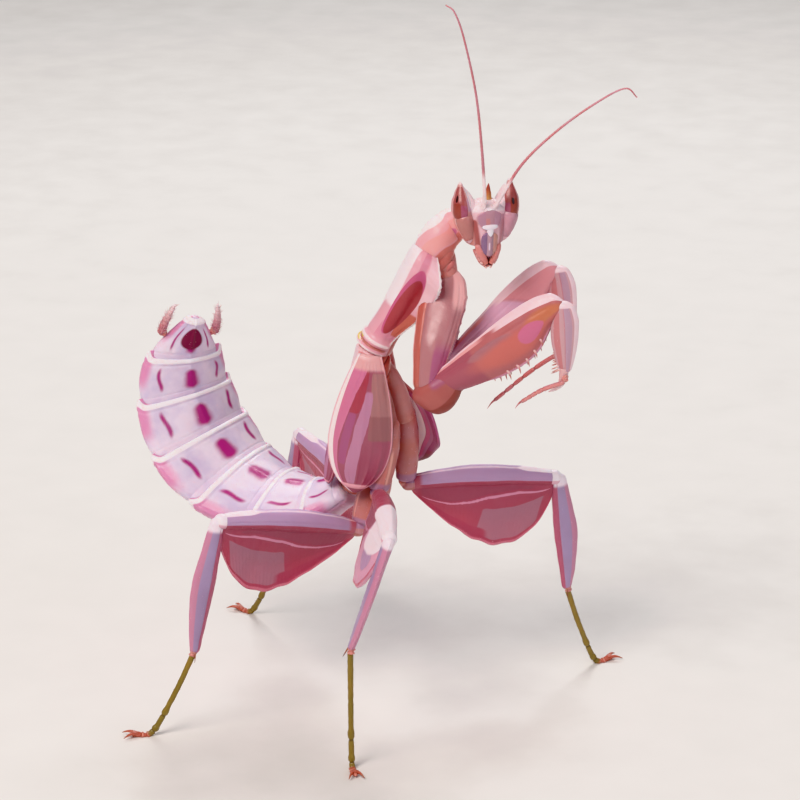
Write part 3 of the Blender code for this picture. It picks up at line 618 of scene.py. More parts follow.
# A waxy cuticle is its ground, its clouds, their strength, its glow, and its layers from the lowest up
CUTICLES = {
    # In the pronotum's layers, patch_edge and patch are painted shade on the flanks
    "pronotum": (
        "E8A9B7", "D9BED6", 0.12, 0.22,
        "rose DE93A8 0.3, belly CF7C7A 0.3, flare EEC3CE 0.25, back FBEBF2 0.3, salmon CB6C5E 0.2, "
        "patch_edge C95F88 0.16, patch AC434C 0.14, lip_spot D9C040 0.25, fold C87F7A 0.25, "
        "lip FBE3E8 0.25, rim FFF3F5 0.2",
    ),
    "thorax": (
        "D98A88", "C3B4D6", 0.2, 0.22,
        "belly C4625A 0.38, back F0C9D3 0.3, seam 9C4A44 0.25, rim F6CBD2 0.25",
    ),
    # In the head's layers, spot is a painted highlight on the brow below the horn
    "head": (
        "F0BFC8", "E3C3D3", 0.15, 0.22,
        "crown F9E0E6 0.38, side C792A2 0.3, jowl E0938E 0.3, cheek BE7E7B 0.18, strip AE5F5E 0.35, "
        "seam A84E52 0.25, spot FFF6F8 0.2",
    ),
    "face_shield": ("BE8B98", "B79BB5", 0.15, 0.22, "side B98A9E 0.2, middle C98A8E 0.2, rim DDA9B4 0.25"),
    # The clypeus finish is white as a painted highlight on the clypeus bar and the nose lobe
    "clypeus": ("F8EAF2", "EBDDEB", 0.3, 0.22, "rim D7B3C4 0.25"),
    "lip": (
        "B98F9E", "B79BB5", 0.15, 0.22,
        "side 8F7092 0.25, middle C9948C 0.2, spot E3D0E2 0.25, rim A2586E 0.25",
    ),
    # In the jaw's layers, seam darkens the midline and the mandible tips, and paints shadow in the mouth's
    # gap
    "jaw": ("D98379", "C3B4D6", 0.2, 0.15, "side C4645C 0.3, rim EDB3AC 0.3, seam 4A1420 0.2"),
    # In the fore coxa's layers, pale is a painted highlight
    "fore_coxa": (
        "B47A80", "C08A90", 0.25, 0.22,
        "salmon C06A62 0.2, mauve AE6485 0.4, pale E9B3B4 0.3, rim E3A0A2 0.25",
    ),
    # In the elbow's layers, belly is painted shade underneath
    "elbow": ("AC5E5C", "C97A72", 0.25, 0.22, "belly 93443E 0.25, mauve A8607A 0.3"),
    "fore_femur": (
        "B96B6E", "C07A84", 0.2, 0.22,
        "lilac E0B4CE 0.3, rose E39DA6 0.3, mauve AA5C6B 0.2, smoke AE747C 0.3, salmon CB706A 0.4, "
        "amber C97A5E 0.4, magenta CE7192 0.25, blush E9A9AC 0.25, pale F6D6DF 0.25, rim CF93AC 0.2",
    ),
    "fore_tibia": (
        "CDA0A8", "D9B0BC", 0.2, 0.22,
        "stripe BD9AAE 0.2, rose C98288 0.25, pale F2D6DE 0.2, rim B07A86 0.25",
    ),
    "fore_foot": ("BE6A6A", "C3B4D6", 0.2, 0.22, "ring 9C5054 0.3, pale D9908F 0.35"),
    "walking_tibia": (
        "A890B4", "B5A2CB", 0.3, 0.22,
        "rose B9637E 0.2, pink C98AA6 0.25, white F5E6F1 0.3, rim C0708E 0.2",
    ),
    "walking_foot": ("857234", "A8843C", 0.35, 0.12, "ring 6A5426 0.3, red BE6250 0.38, pale DA8F80 0.3"),
    # In the leg base's layers, the B4706C one is painted shade on the inner and lower faces
    "leg_base": (
        "C47A74", "C3B4D6", 0.2, 0.22,
        "pale E6A79C 0.3, dusk B4706C 0.3, mauve AE7F9B 0.3, rim E3A39C 0.25",
    ),
    "knee_cap": ("FAEDF3", "E3D2E6", 0.3, 0.22, "pink E9B6C6 0.3"),
    "wing_pad": (
        "A3566B", "B07A8A", 0.15, 0.22,
        "grey AE7A7C 0.16, smoke 9C666B 0.2, lilac BE84A2 0.16, plum A85C82 0.16, deep AA4858 0.16, "
        "pink D07A9C 0.16, top E0A9AC 0.3, salmon C4787A 0.2, white FBE9EC 0.2, vein D79AAC 0.2, "
        "rim E9A9B5 0.2",
    ),
    "abdomen": (
        "EBDDEC", "B7A6D1", 0.5, 0.3,
        "belly DDB7CF 0.38, flush DD94BD 0.38, streak B0307F 0.3, spot 7E0F3F 0.2, rim FBF2F8 0.25",
    ),
    "antenna": ("C4757C", "C3B4D6", 0.2, 0.15, "pale F4DCE0 0.35, ring B0626A 0.3"),
    "palp": ("DB8F88", "C3B4D6", 0.2, 0.22, "pale EDBDB8 0.35, ring C0706A 0.3"),
}
# In the petal's layers, pink and white are painted highlights
PETAL = (
    "AE5468", "A8627A", 0.2,
    "facet AC7789 0.14, blush AA4E66 0.25, hollow A4566A 0.18, lilac BC9DC0 0.2, pink DDA9C2 0.25, "
    "salmon BC6878 0.3, vein D795B0 0.2, rim C9788C 0.25, white FAE9F1 0.22",
)
# In the neck's layers, back is a painted highlight along its top
NECK_SKIN = ("EFAFB9", "F3C3CB", "low DC857E 0.3, salmon F2B0B0 0.25, magenta D07098 0.3, back FCEFF3 0.25")
# The eye's white layer is partly a painted highlight up its inner side
EYE_SKIN = (
    "DE9C9C",
    "lavender CFA6BC 0.3, facet AD5D5D 0.2, deep 9C483C 0.3, mauve AC5C78 0.25, rim E8A9AF 0.25, "
    "white FBEDF3 0.3, pupil 16080A 0.15",
)


def make_finishes():
    for name, row in CUTICLES.items():
        waxy_cuticle(name, *row)
    petal_cuticle("petal_femur", *PETAL)
    joint_membrane("membrane", "D08A84", "D99A98")
    joint_membrane("throat", "D9908C", "E3A39E")
    joint_membrane("neck", *NECK_SKIN)
    corneal_lens("eye", *EYE_SKIN)
    corneal_lens("ocellus", "F8EEEA")
    tanned_sclerotin("spine", "E9B9BE", "B5706A")
    tanned_sclerotin("hook", "E3B3BA", "F2D9DC", 0.34)
    tanned_sclerotin("claw", "B5684A", "6A3424")
    tanned_sclerotin("horn", "CD9238", "A8493F")
    bristle_keratin("bristle", "E9BFC6", "FFF6F4")
    bristle_keratin("foot_bristle", "8A6A3A", "C9A66A")
    matt_plaster("plaster", "DEDBD8", "F2EFEC")


# ---------------------------------------------------------------- pieces


def joined(skins):
    """One mesh from several closed skins: points, faces, and every mask that any of them holds."""
    names = sorted({name for skin in skins for name in skin.masks})
    points, faces, values = [], [], {name: [] for name in names}
    for skin in skins:
        offset = sum(len(part) for part in points)
        corners, found = shell(skin)
        points.append(corners)
        faces += [[k + offset for k in face] for face in found]
        for name in names:
            mask = skin.masks.get(name, np.zeros(skin.points.shape[:2]))
            values[name].append(np.concatenate((mask.ravel(), (mask[0].mean(), mask[-1].mean()))))
    return np.vstack(points), faces, {name: np.concatenate(parts) for name, parts in values.items()}


def make_piece(name, points, faces, values, finish, node):
    mesh = bpy.data.meshes.new(name)
    mesh.from_pydata((points * MM).tolist(), [], faces)
    for mask, numbers in values.items():
        mesh.attributes.new(mask, "FLOAT", "POINT").data.foreach_set("value", numbers.astype(np.float32))
    mesh.materials.append(FINISHES[finish])
    mesh.shade_smooth()
    piece = bpy.data.objects.new(name, mesh)
    bpy.context.collection.objects.link(piece)
    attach(piece, "root")
    return piece


def show(name, skins, finish, node, stands_for=True):
    """Makes one piece from its skins. It stands for the node unless told otherwise."""
    skins = [skins] if isinstance(skins, Skin) else skins
    piece = make_piece(name, *joined(skins), finish, node)
    if stands_for:
        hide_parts(node)


def plated(name, skin, relief, finish, node, stands_for=True, **masks):
    """Shows one skin as a piece, with its relief and its masks, and gives it back."""
    skin = masked(emboss(skin, relief), **masks)
    show(name, skin, finish, node, stands_for)
    return skin


def grow_bristles(
    skin, weight, count, length, node, seed, lean=0.5, radius=0.022, finish="bristle", name=None
):
    """Short stiff hairs bent towards the skin's far end, densest where weight is high.

    They are three-sided, and each has its own spot on the map OFBake.
    """
    rng = np.random.default_rng(seed)
    outward = normals(skin.points)
    along = unit(np.gradient(skin.points, axis=0))
    cell = np.linalg.norm(np.gradient(skin.points, axis=0), axis=-1)
    cell *= np.linalg.norm(np.roll(skin.points, -1, axis=1) - skin.points, axis=-1)
    chance = (np.broadcast_to(weight, cell.shape) * cell).ravel()
    chosen = rng.choice(chance.size, size=count, replace=False, p=chance / chance.sum())
    root = skin.points.reshape(-1, 3)[chosen]
    out, on = outward.reshape(-1, 3)[chosen], along.reshape(-1, 3)[chosen]
    reach = (length * rng.uniform(0.55, 1.15, count))[:, None]
    way = unit(out + lean * on + 0.22 * rng.normal(size=(count, 3)))
    middle = root + 0.55 * reach * way
    tip = middle + 0.45 * reach * unit(way + 0.5 * on)
    side = unit(np.cross(way, on + 0.01))
    other = np.cross(side, way)
    corners = [root - 0.05 * way + radius * (np.cos(a) * side + np.sin(a) * other) for a in BRISTLE_SIDES]
    corners += [middle + 0.6 * radius * (np.cos(a) * side + np.sin(a) * other) for a in BRISTLE_SIDES]
    points = np.stack((*corners, tip), axis=1).reshape(-1, 3)
    points = above_floor(points)
    faces = [[7 * k + corner for corner in face] for k in range(count) for face in BRISTLE_FACES]
    tips = np.tile((0, 0, 0, 0.5, 0.5, 0.5, 1), count)
    piece = make_piece(name or f"{node}_bristles", points, faces, {"tip": tips}, finish, node)
    place = np.stack(np.divmod(chosen, skin.points.shape[1]), axis=1)[:, ::-1] / skin.points.shape[1::-1]
    spot = BRISTLE_SPOT * np.array(BRISTLE_MAP)
    flat = ((1 - BRISTLE_SPOT) * place[:, None] + spot).reshape(-1, 2)
    corner_of = np.empty(len(piece.data.loops), np.int32)
    piece.data.loops.foreach_get("vertex_index", corner_of)
    layer = piece.data.uv_layers.new(name="OFBake")
    layer.uv.foreach_set("vector", flat[corner_of].astype(np.float32).ravel())


# ---------------------------------------------------------------- trunk


def cuff(name, start, end, up, radii, node, folds=4, finish="membrane", depth=0.05, sides=40):
    """Soft folded skin that closes the gap at a joint."""
    start, end = np.asarray(start, float), np.asarray(end, float)
    skin = tube((start, (start + end) / 2, end), up, radii, 44, sides, (0.25, 0.25))
    skin = emboss(skin, depth * np.sin(2 * np.pi * folds * skin.along + 0.6 * np.sin(2 * skin.around)))
    show(name, skin, finish, node, False)


def build_pronotum():
    """A saddle-backed shield: a pale flared flange on each side, a faint groove and a rolled hind lip."""
    back, front = chain(WAIST, (THORAX_LINK, PRONOTUM_LINK))[1:]
    top = heading(180, 90 - PRONOTUM_LINK[2])
    skin = limb(back, front, top, PRONOTUM, 200, 144, (0.4, 0.9), (-0.55, PRONOTUM_FRONT), PRONOTUM_BOW)
    t, rise = skin.along * 1.07 - 0.07, lift(skin)
    above = ease(rise, -1.1, -0.7)
    teeth = 0.85 + 0.15 * np.sin(2 * np.pi * 25 * t)
    edge = -0.92 - 0.25 * band(t, 0.25, 0.8, 0.15)
    flare = PRONOTUM_FLARE * ridge(rise, edge, 0.3) * ease(t, 0.05, 0.85) * (1 - ease(t, 0.8, 1.0))
    sideways = np.clip(2.2 * flank(skin), -1, 1)[..., None] * np.array((0, -1.0, 0))
    skin = skin._replace(points=skin.points + flare[..., None] * (sideways - 0.9 * top))
    rim = ridge(rise, edge, 0.06) * band(t, 0.06, 1.0, 0.05)
    relief = (
        0.16 * rim * teeth
        - 0.08 * ridge(rise, -0.5, 0.16) * band(t, 0.12, 0.6, 0.1)
        - 0.12 * ridge(rise, edge - 0.24, 0.1) * band(t, 0.08, 0.97, 0.05)
        + 0.06 * ridge(rise, np.pi / 2, 0.15) * band(t, 0.12, 0.93, 0.08)
        - 0.04 * ridge(t, 0.8 + 0.04 * np.cos(2 * rise), 0.014) * above
        + (0.12 * ridge(t, -0.03, 0.016) + 0.09 * ridge(t, 0.045, 0.02)) * above
        - (0.13 * ridge(t, 0.004, 0.012) + 0.05 * ridge(t, 0.09, 0.02)) * above
        + 0.07 * ridge(t, 0.955, 0.016) * above
        + 0.03 * ripple(skin.points, 3.4, 3) + 0.006 * ripple(skin.points, 0.9, 4)
    )
    skin = emboss(skin, relief)
    right = 0.4 + 0.6 * ease(flank(skin), -0.2, 0.2)
    slope = rise + 0.45 * (t - 0.47)
    skin = masked(
        skin,
        rose=band(rise, -0.52, -0.12, 0.1) * ease(t, 0.74, 0.84)
        + 0.8 * band(t, 0.09, 0.26, 0.06) * (rise < 0.4),
        belly=1 - ease(rise, edge - 0.2, edge - 0.08),
        flare=(1 - ease(rise, -0.66, -0.5)) * ease(rise, edge, edge + 0.05) * ease(t, 0.4, 0.56),
        # the pale band on top: partly the shield's own white, partly a painted highlight
        back=ease(rise, 0.24, 0.44) * ease(t, 0.34, 0.46) + 0.9 * ridge(rise, 1.5, 0.25) * (t < 0.4),
        salmon=band(rise, edge, -0.52 + 0.1 * t, 0.07) * band(t, 0.16, 0.42, 0.05),
        # a dark red patch with a magenta edge on each flank, stronger on the right: painted shade
        patch_edge=blot((t - 0.5) / 0.35, (slope + 0.18) / 0.56, 0.14) * right,
        patch=blot((t - 0.455) / 0.3, (slope + 0.28) / 0.5, 0.12) * right,
        lip_spot=ease(rise, 0.7, 0.95) * band(t, -0.02, 0.05, 0.015),
        lip=(ridge(t, -0.04, 0.018) + ridge(t, 0.045, 0.016)) * above,
        fold=ridge(t, 0.004, 0.014) * above,
        rim=rim,
    )
    show("pronotum_shield", skin, "pronotum", "pronotum")
    grow_bristles(skin, rim, 110, 0.18, "pronotum", 21, radius=0.012)

    low, high = (back + t * (front - back) - PROSTERNUM_DROP * top for t in PROSTERNUM_SPAN)
    skin = limb(low, high, top, PROSTERNUM, 60, 56, (0.5, 0.5))
    relief = 0.07 * ridge(lift(skin), -np.pi / 2, 0.3) + 0.02 * ripple(skin.points, 1.2, 5)
    plated(
        "breast_plate", skin, relief, "thorax", "prosternum",
        rim=0.5 * ridge(lift(skin), -np.pi / 2, 0.2),
        belly=0.4,
    )
    return back, front, top


def build_hind_thorax():
    back = chain(WAIST, (THORAX_LINK,))[1]
    middle = (WAIST + back) / 2
    top = heading(180, 90 - THORAX_LINK[2])
    plates = {
        "mesothorax": (middle, back, MESOTHORAX, (0.1, 0.4), (GAP / 2, GAP * 2)),
        "metathorax": (WAIST, middle, METATHORAX, (0.4, 0.1), (0, GAP / 2)),
    }
    for seed, (node, (start, end, stations, ends, trims)) in enumerate(plates.items()):
        skin = limb(start, end, top, stations, 96, 120, ends, trims)
        t, rise = skin.along, lift(skin)
        slant = t + 0.22 * (rise + 0.3)
        seams = ridge(slant, 0.34, 0.025) + ridge(slant, 0.62, 0.025) * (rise < 0.5)
        seams = seams * (1 - ease(rise, 0.6, 0.9)) + ridge(rise, -0.95, 0.035)
        edge = ridge(t, 0.04, 0.025) + ridge(t, 0.965, 0.025)
        relief = (
            0.1 * edge - 0.11 * seams + 0.12 * ridge(rise, np.pi / 2, 0.14)
            + 0.07 * band(slant, 0.38, 0.58, 0.05) - 0.1 * ridge(rise, 0.62, 0.06)
            + 0.03 * ripple(skin.points, 1.6, 30 + seed)
        )
        skin = plated(
            f"{node}_plates", skin, relief, "thorax", node,
            belly=1 - ease(rise, -1.2, -0.5),
            back=ease(rise, 0.3, 1.2),
            seam=0.9 * seams,
            rim=0.9 * edge,
        )
        tufts = band(rise, -0.9, 0.2, 0.3)
        grow_bristles(skin, tufts, 140, 0.2, node, 33 + seed, radius=0.014)
    lean = heading(*THORAX_LINK[1:])
    cuff("pronotum_base_skin", back - 0.9 * lean, back + 1.1 * lean, top, (1.25, 1.2, 1.05), "mesothorax", 4)
    cuff("thorax_seam_skin", middle - 0.8 * lean, middle + 0.8 * lean, top, (1.5, 1.45, 1.5), "metathorax", 2)
    cuff("waist_skin", WAIST - (0.9, 0, 0.85), WAIST + 1.2 * lean, top, (1.05, 0.95, 1.1), "metathorax", 5)


def pad_skin(across, leaning, outline, start, length, turn, stand, half_width, radius, rings=120, sides=120):
    """A wing pad laid against the thorax, with rounded edges and the fan of its future veins."""
    joint = chain(WAIST, (THORAX_LINK,))[1]
    down = -heading(*THORAX_LINK[1:])
    top = heading(180, 90 - THORAX_LINK[2])
    t = stretch(rings)
    angle = turns(sides)
    f = -np.cos(angle)[None, :]
    face = np.sign(np.sin(angle)) * np.abs(np.sin(angle)) ** 0.4
    tip = np.sqrt(np.clip(1 - np.clip((t - 0.9) / 0.1, 0, 1) ** 2, 0.02, 1))
    root = np.sqrt(np.clip(1 - np.clip((0.04 - t) / 0.04, 0, 1) ** 2, 0.1, 1))
    spread = (half_width / radius * blend(np.array(outline)[:, None], t)[:, 0] * tip)[:, None]
    reach = (stand * blend(np.array(PAD_STAND)[:, None], t)[:, 0] - radius)[:, None]
    outer = np.clip(face, 0, 1)[None, :]
    fan = sum(
        ridge(f, place * (0.5 + 0.5 * t[:, None]) + 0.06, 0.035) for place in (-0.78, -0.4, 0, 0.36, 0.72)
    )
    veins = fan * outer * band(t, 0.06, 0.93, 0.05)[:, None]
    rim = np.maximum(ridge(np.abs(f), 0.955, 0.05), ridge(t, 0.945, 0.02)[:, None]) * outer
    swell = 0.06 * veins + 0.07 * rim - 0.05 * ridge(np.abs(f), 0.84, 0.06) * outer
    thick = PAD_THICKNESS / 2 * (1 - PAD_EDGE_THINNING * f * f) * (tip * root)[:, None]
    grown = radius + face[None, :] * thick + swell
    middle = np.radians(turn)
    backward = reach * np.cos(middle) + grown * np.cos(middle + spread * f)
    sideways = reach * np.sin(middle) + grown * np.sin(middle + spread * f)
    axis = joint + (start + length * t)[:, None] * down + t[:, None] ** 1.5 * leaning
    points = axis[:, None] + backward[..., None] * top + sideways[..., None] * across
    points = points + 0.05 * (ripple(points, 2.4, 41) * outer)[..., None] * across
    skin = Skin(points, t[:, None], angle[None, :], {})
    return skin, f, veins, rim


def far_pad_colours(skin, rim):
    """The pad that shows its front edge: a pale face, stripes along the edge and a dark tip."""
    t, f = skin.along, -np.cos(skin.around)
    return masked(
        skin,
        salmon=1 - ease(t, 0.34, 0.46),
        white=1 - ease(f, 0.5, 0.56),
        pink=band(f, 0.54, 0.66, 0.03),
        lilac=band(f, 0.66, 0.77, 0.03),
        plum=ease(f, 0.76, 0.8) * (1 - ease(t, 0.8, 0.88)),
        smoke=ease(t, 0.86, 0.9) * ease(f, 0.1, 0.2),
        rim=rim,
    )


def build_wing_pads():
    for node, (*sizes, leaning) in PADS.items():
        across = np.array((0.0, SIDES[node.split("_")[-1]], 0.0))
        outline = FAR_PAD_OUTLINE if node == "fore_wing_pad_left" else PAD_OUTLINE
        skin, f, veins, rim = pad_skin(across, np.array(leaning, float), outline, *sizes)
        t = skin.along * 1.06 - 0.06
        if node != "fore_wing_pad_right":
            f = 0.75 * f - 0.15

        def between(low, high, soft=0.035):
            """1 between two edges, each given as rows of (place down the pad, place across it)."""
            low, high = (np.interp(t, *zip(*rows)) for rows in (low, high))
            return band(f, low, high, soft)

        if node == "fore_wing_pad_left":
            show(f"{node}_skin", far_pad_colours(skin, rim), "wing_pad", node)
            continue
        first = ((0.05, 0.0), (0.22, -0.31), (0.36, -0.43), (0.61, -0.6), (0.9, -0.66))
        skin = masked(
            skin,
            white=1 - ease(f, -0.82, -0.74),
            pink=between(((0, -0.78), (1, -0.78)), first),
            deep=between(first, ((0.1, 0.13), (0.28, 0.0), (0.37, -0.1))) * (1 - ease(t, 0.33, 0.41)),
            plum=between(((0.38, -0.43), (0.75, -0.6)), ((0.38, -0.16), (0.75, -0.36)))
            * band(t, 0.37, 0.78, 0.04),
            lilac=between(
                ((0.25, 0.04), (0.46, -0.16), (0.6, -0.21), (0.87, -0.45)),
                ((0.25, 0.33), (0.46, 0.21), (0.6, 0.1), (0.87, 0.0)),
            )
            * band(t, 0.2, 0.92, 0.05),
            grey=ease(f, 0.22, 0.3) * band(t, 0.06, 0.4, 0.05),
            smoke=ease(f, 0.2, 0.28) * band(t, 0.38, 0.57, 0.04),
            top=1 - ease(t, 0.0, 0.09),
            vein=0.28 * veins,
            rim=rim,
        )
        show(f"{node}_skin", skin, "wing_pad", node)


# ---------------------------------------------------------------- abdomen


def turned(vector, axis, degrees):
    """A vector turned about a unit axis."""
    a = np.radians(degrees)
    crosswise = np.cross(axis, vector)
    return np.cos(a) * vector + np.sin(a) * crosswise + (1 - np.cos(a)) * np.dot(axis, vector) * axis


def abdomen_line():
    """Centres, side vectors and back vectors at the joints of the abdomen."""
    centres, sides, backs = [WAIST + ABDOMEN_ROOT], [], []
    for k in range(len(ABDOMEN_JOINTS)):
        azimuth = ABDOMEN_AZIMUTH + ABDOMEN_SWING * k
        climb = ABDOMEN_CLIMB + ABDOMEN_CURL * k
        if k < len(ABDOMEN_LENGTHS):
            centres.append(centres[-1] + ABDOMEN_LENGTHS[k] * heading(azimuth, climb))
        along = heading(azimuth - ABDOMEN_SWING / 2, climb - ABDOMEN_CURL / 2)
        back = turned(heading(azimuth, climb - ABDOMEN_CURL / 2 + 90), along, -ABDOMEN_ROLL * k)
        side, back = axes(along, back)
        sides.append(side)
        backs.append(back)
    return np.array(centres), np.array(sides), np.array(backs)


def abdomen_ring(line, t, scale=(1, 1, 1)):
    """Centres, sides, backs and half sizes at places along the whole abdomen."""
    centres, sides, backs = line
    width, back, belly = (blend(ABDOMEN_JOINTS, t) * scale).T
    side, up = axes(np.cross(blend(backs, t), blend(sides, t)), blend(backs, t))
    return blend(centres, t), side, up, width, back, belly


def build_abdomen():
    line = abdomen_line()
    count = len(ABDOMEN_LENGTHS)
    angle = turns(150)
    t = np.linspace(0.01, 0.985, 150)
    centre, side, up, width, back, belly = abdomen_ring(line, t, (0.9, 0.84, 0.84))
    close = np.minimum(1, 12 * np.minimum(t, 1 - t) + 0.3)
    core = sweep(centre, side, up, oval(width * close, back * close, belly * close, angle, ABDOMEN_POWER))
    show("abdomen_inner_skin", Skin(core, t[:, None], angle[None, :], {}), "membrane", "abdomen_1", False)
    for k in range(count):
        last = k == count - 1
        node = "abdomen_tip" if last else f"abdomen_{k + 1}"
        f = np.linspace(0, 1, 56)
        reach = (k + 0.01 + (0.985 if last else 1.045) * f) / count
        centre, side, up, width, back, belly = abdomen_ring(line, reach)
        lap = 0.955 + 0.075 * ease(f, 0, 0.6) - 0.05 * ease(f, 0.965, 1.0) - 0.06 * (1 - ease(f, 0, 0.06))
        if last:
            lap = 0.955 + 0.04 * ease(f, 0, 0.3) - 0.55 * ease(f, 0.9, 1.0) ** 2
        outline = oval(width * lap, back * lap, belly * lap, angle, ABDOMEN_POWER)
        skin = Skin(sweep(centre, side, up, outline), f[:, None], angle[None, :], {})
        rise, edge = lift(skin), np.abs(flank(skin))
        way = unit(np.gradient(centre, axis=0))[:, None]
        corner = ridge(rise, 0.02, 0.2) * ease(f, 0.55, 1.0)[:, None] * (0.0 if last else 0.55)
        skin = skin._replace(points=skin.points + corner[..., None] * way)
        f = skin.along
        rear = ease(f, 0.86, 0.92) * (1 - ease(f, 0.985, 1.0))
        relief = (
            0.06 * rear - 0.05 * ridge(f, 0.84, 0.02) + 0.09 * ridge(rise, np.pi / 2, 0.1)
            - 0.09 * ridge(rise, -0.35, 0.045) - 0.05 * ridge(f, 0.16, 0.02)
            + 0.05 * ripple(skin.points, 2.6, 60 + k) - 0.04 * ridge(edge, 0.62, 0.07) * (rise > 0)
            + 0.03 * np.sin(2 * np.pi * 5 * rise) * ridge(rise, 0, 0.35) * ease(f, 0.3, 0.9)
        )
        skin = emboss(skin, 0.8 * relief)
        wave = 0.04 * np.sin(9 * f + k)
        dash = ridge(rise, 0.78 + wave, 0.07) * band(f, 0.25, 0.8, 0.12)
        middle = ridge(rise, np.pi / 2, 0.3 - 0.16 * f) * band(f, 0.2, 0.72, 0.12)
        skin = masked(
            skin,
            belly=1 - ease(rise, -0.55, -0.2),
            flush=0.95 * ease(edge, 0.8, 0.99) * ease(f, 0.1, 0.7) + 0.3 * ridge(f, 0.1, 0.1),
            streak=0.8 * dash + 0.95 * middle,
            spot=blot((f - 0.55) / 0.26, (rise - np.pi / 2) / 0.55, 0.35) if last else 0 * f,
            rim=0.9 * rear * (1 - 0.6 * dash),
        )
        show(f"{node}_plate", skin, "abdomen", node)
        hairs = 0.15 + ridge(edge, 1.0, 0.08) + rear
        grow_bristles(skin, hairs, 130, 0.18, node, 70 + k, radius=0.014)

    place = (count - 1 + CERCUS_PLACE) / count
    centre, side, up, width = (part[0] for part in abdomen_ring(line, np.array([place]))[:4])
    along = unit(line[0][-1] - line[0][-2])
    for name, sign in SIDES.items():
        out = -sign * blend(line[1], place)[0]
        root = centre + (width + CERCUS_RADIUS + GAP) * out - CERCUS_DROP * blend(line[2], place)[0]
        tip = root + CERCUS_LENGTH * (along - 0.2 * out)
        skin = tube(
            (root, (root + tip) / 2 + 0.12 * out, tip), up, (0.3, 0.33, 0.29, 0.2, 0.07), 110, 28,
            (0.2, 0.1)
        )
        skin = emboss(skin, 0.035 * np.abs(np.sin(np.pi * 9 * skin.along)) ** 0.5 - 0.02)
        rings = 1 - np.abs(np.sin(np.pi * 9 * skin.along)) ** 0.3
        skin = masked(skin, ring=rings, pale=skin.along * 0.8)
        show(f"cercus_{name}_joints", skin, "antenna", f"cercus_{name}")
        grow_bristles(skin, 1.0, 130, 0.4, f"cercus_{name}", 90 + sign, lean=0.9)
        cuff(
            f"cercus_{name}_socket", root - 0.45 * out, root + 0.3 * along, up, (0.3, 0.33, 0.27),
            f"cercus_{name}", 2
        )


# ---------------------------------------------------------------- head


def head_frame():
    face = heading(FACE_AZIMUTH, FACE_CLIMB)
    left = unit(np.cross(WORLD_UP, face))
    return left, np.cross(face, left), face


def on_head(place, sign=1):
    """Places on the head as (towards its left, up, towards its face), mirrored for the other side."""
    left, up, face = head_frame()
    place = np.asarray(place, float)
    return WAIST + HEAD + sign * place[..., :1] * left + place[..., 1:2] * up + place[..., 2:] * face


def in_head(points):
    return np.moveaxis((points - WAIST - HEAD) @ np.array(head_frame()).T, -1, 0)


def muzzle(x, y):
    """How far the front of the face stands out at a place across it and up it."""
    table = blend(FACE_LINE, np.linspace(0, 1, 200))
    wide, depth = (np.interp(y, table[:, 0], table[:, k]) for k in (1, 2))
    swept = CHEEK_SWEEP * (x / 2.1) ** 2 * (1 - ease(y, -0.1, 0.9))
    return depth * np.clip(1 - np.abs(x / wide) ** HEAD_POWER, 0.0, 1) ** (1 / HEAD_POWER) - swept


def face_plate(rows, height, rings=70, sides=72, round_over=0.12, crown=0.0):
    """A plate that lies on the face. Its rows are (level, half width), from its upper edge down."""
    t = stretch(rings)
    level, half = blend(rows, t).T
    half = half * dome(t, abs(rows[0][0] - rows[-1][0]), (round_over, round_over))[:, 0]
    angle = turns(sides)
    f = np.cos(angle)[None, :]
    x = half[:, None] * f
    y = level[:, None] + crown * (1 - f * f) * (1 - 2 * t[:, None])
    out = np.sign(np.sin(angle)) * np.abs(np.sin(angle)) ** 0.45
    rise = np.where(out > 0, height, 0.25) * out
    z = muzzle(x, y) + rise[None, :]
    return Skin(on_head(np.stack((x, y, z), axis=-1)), t[:, None], angle[None, :], {})


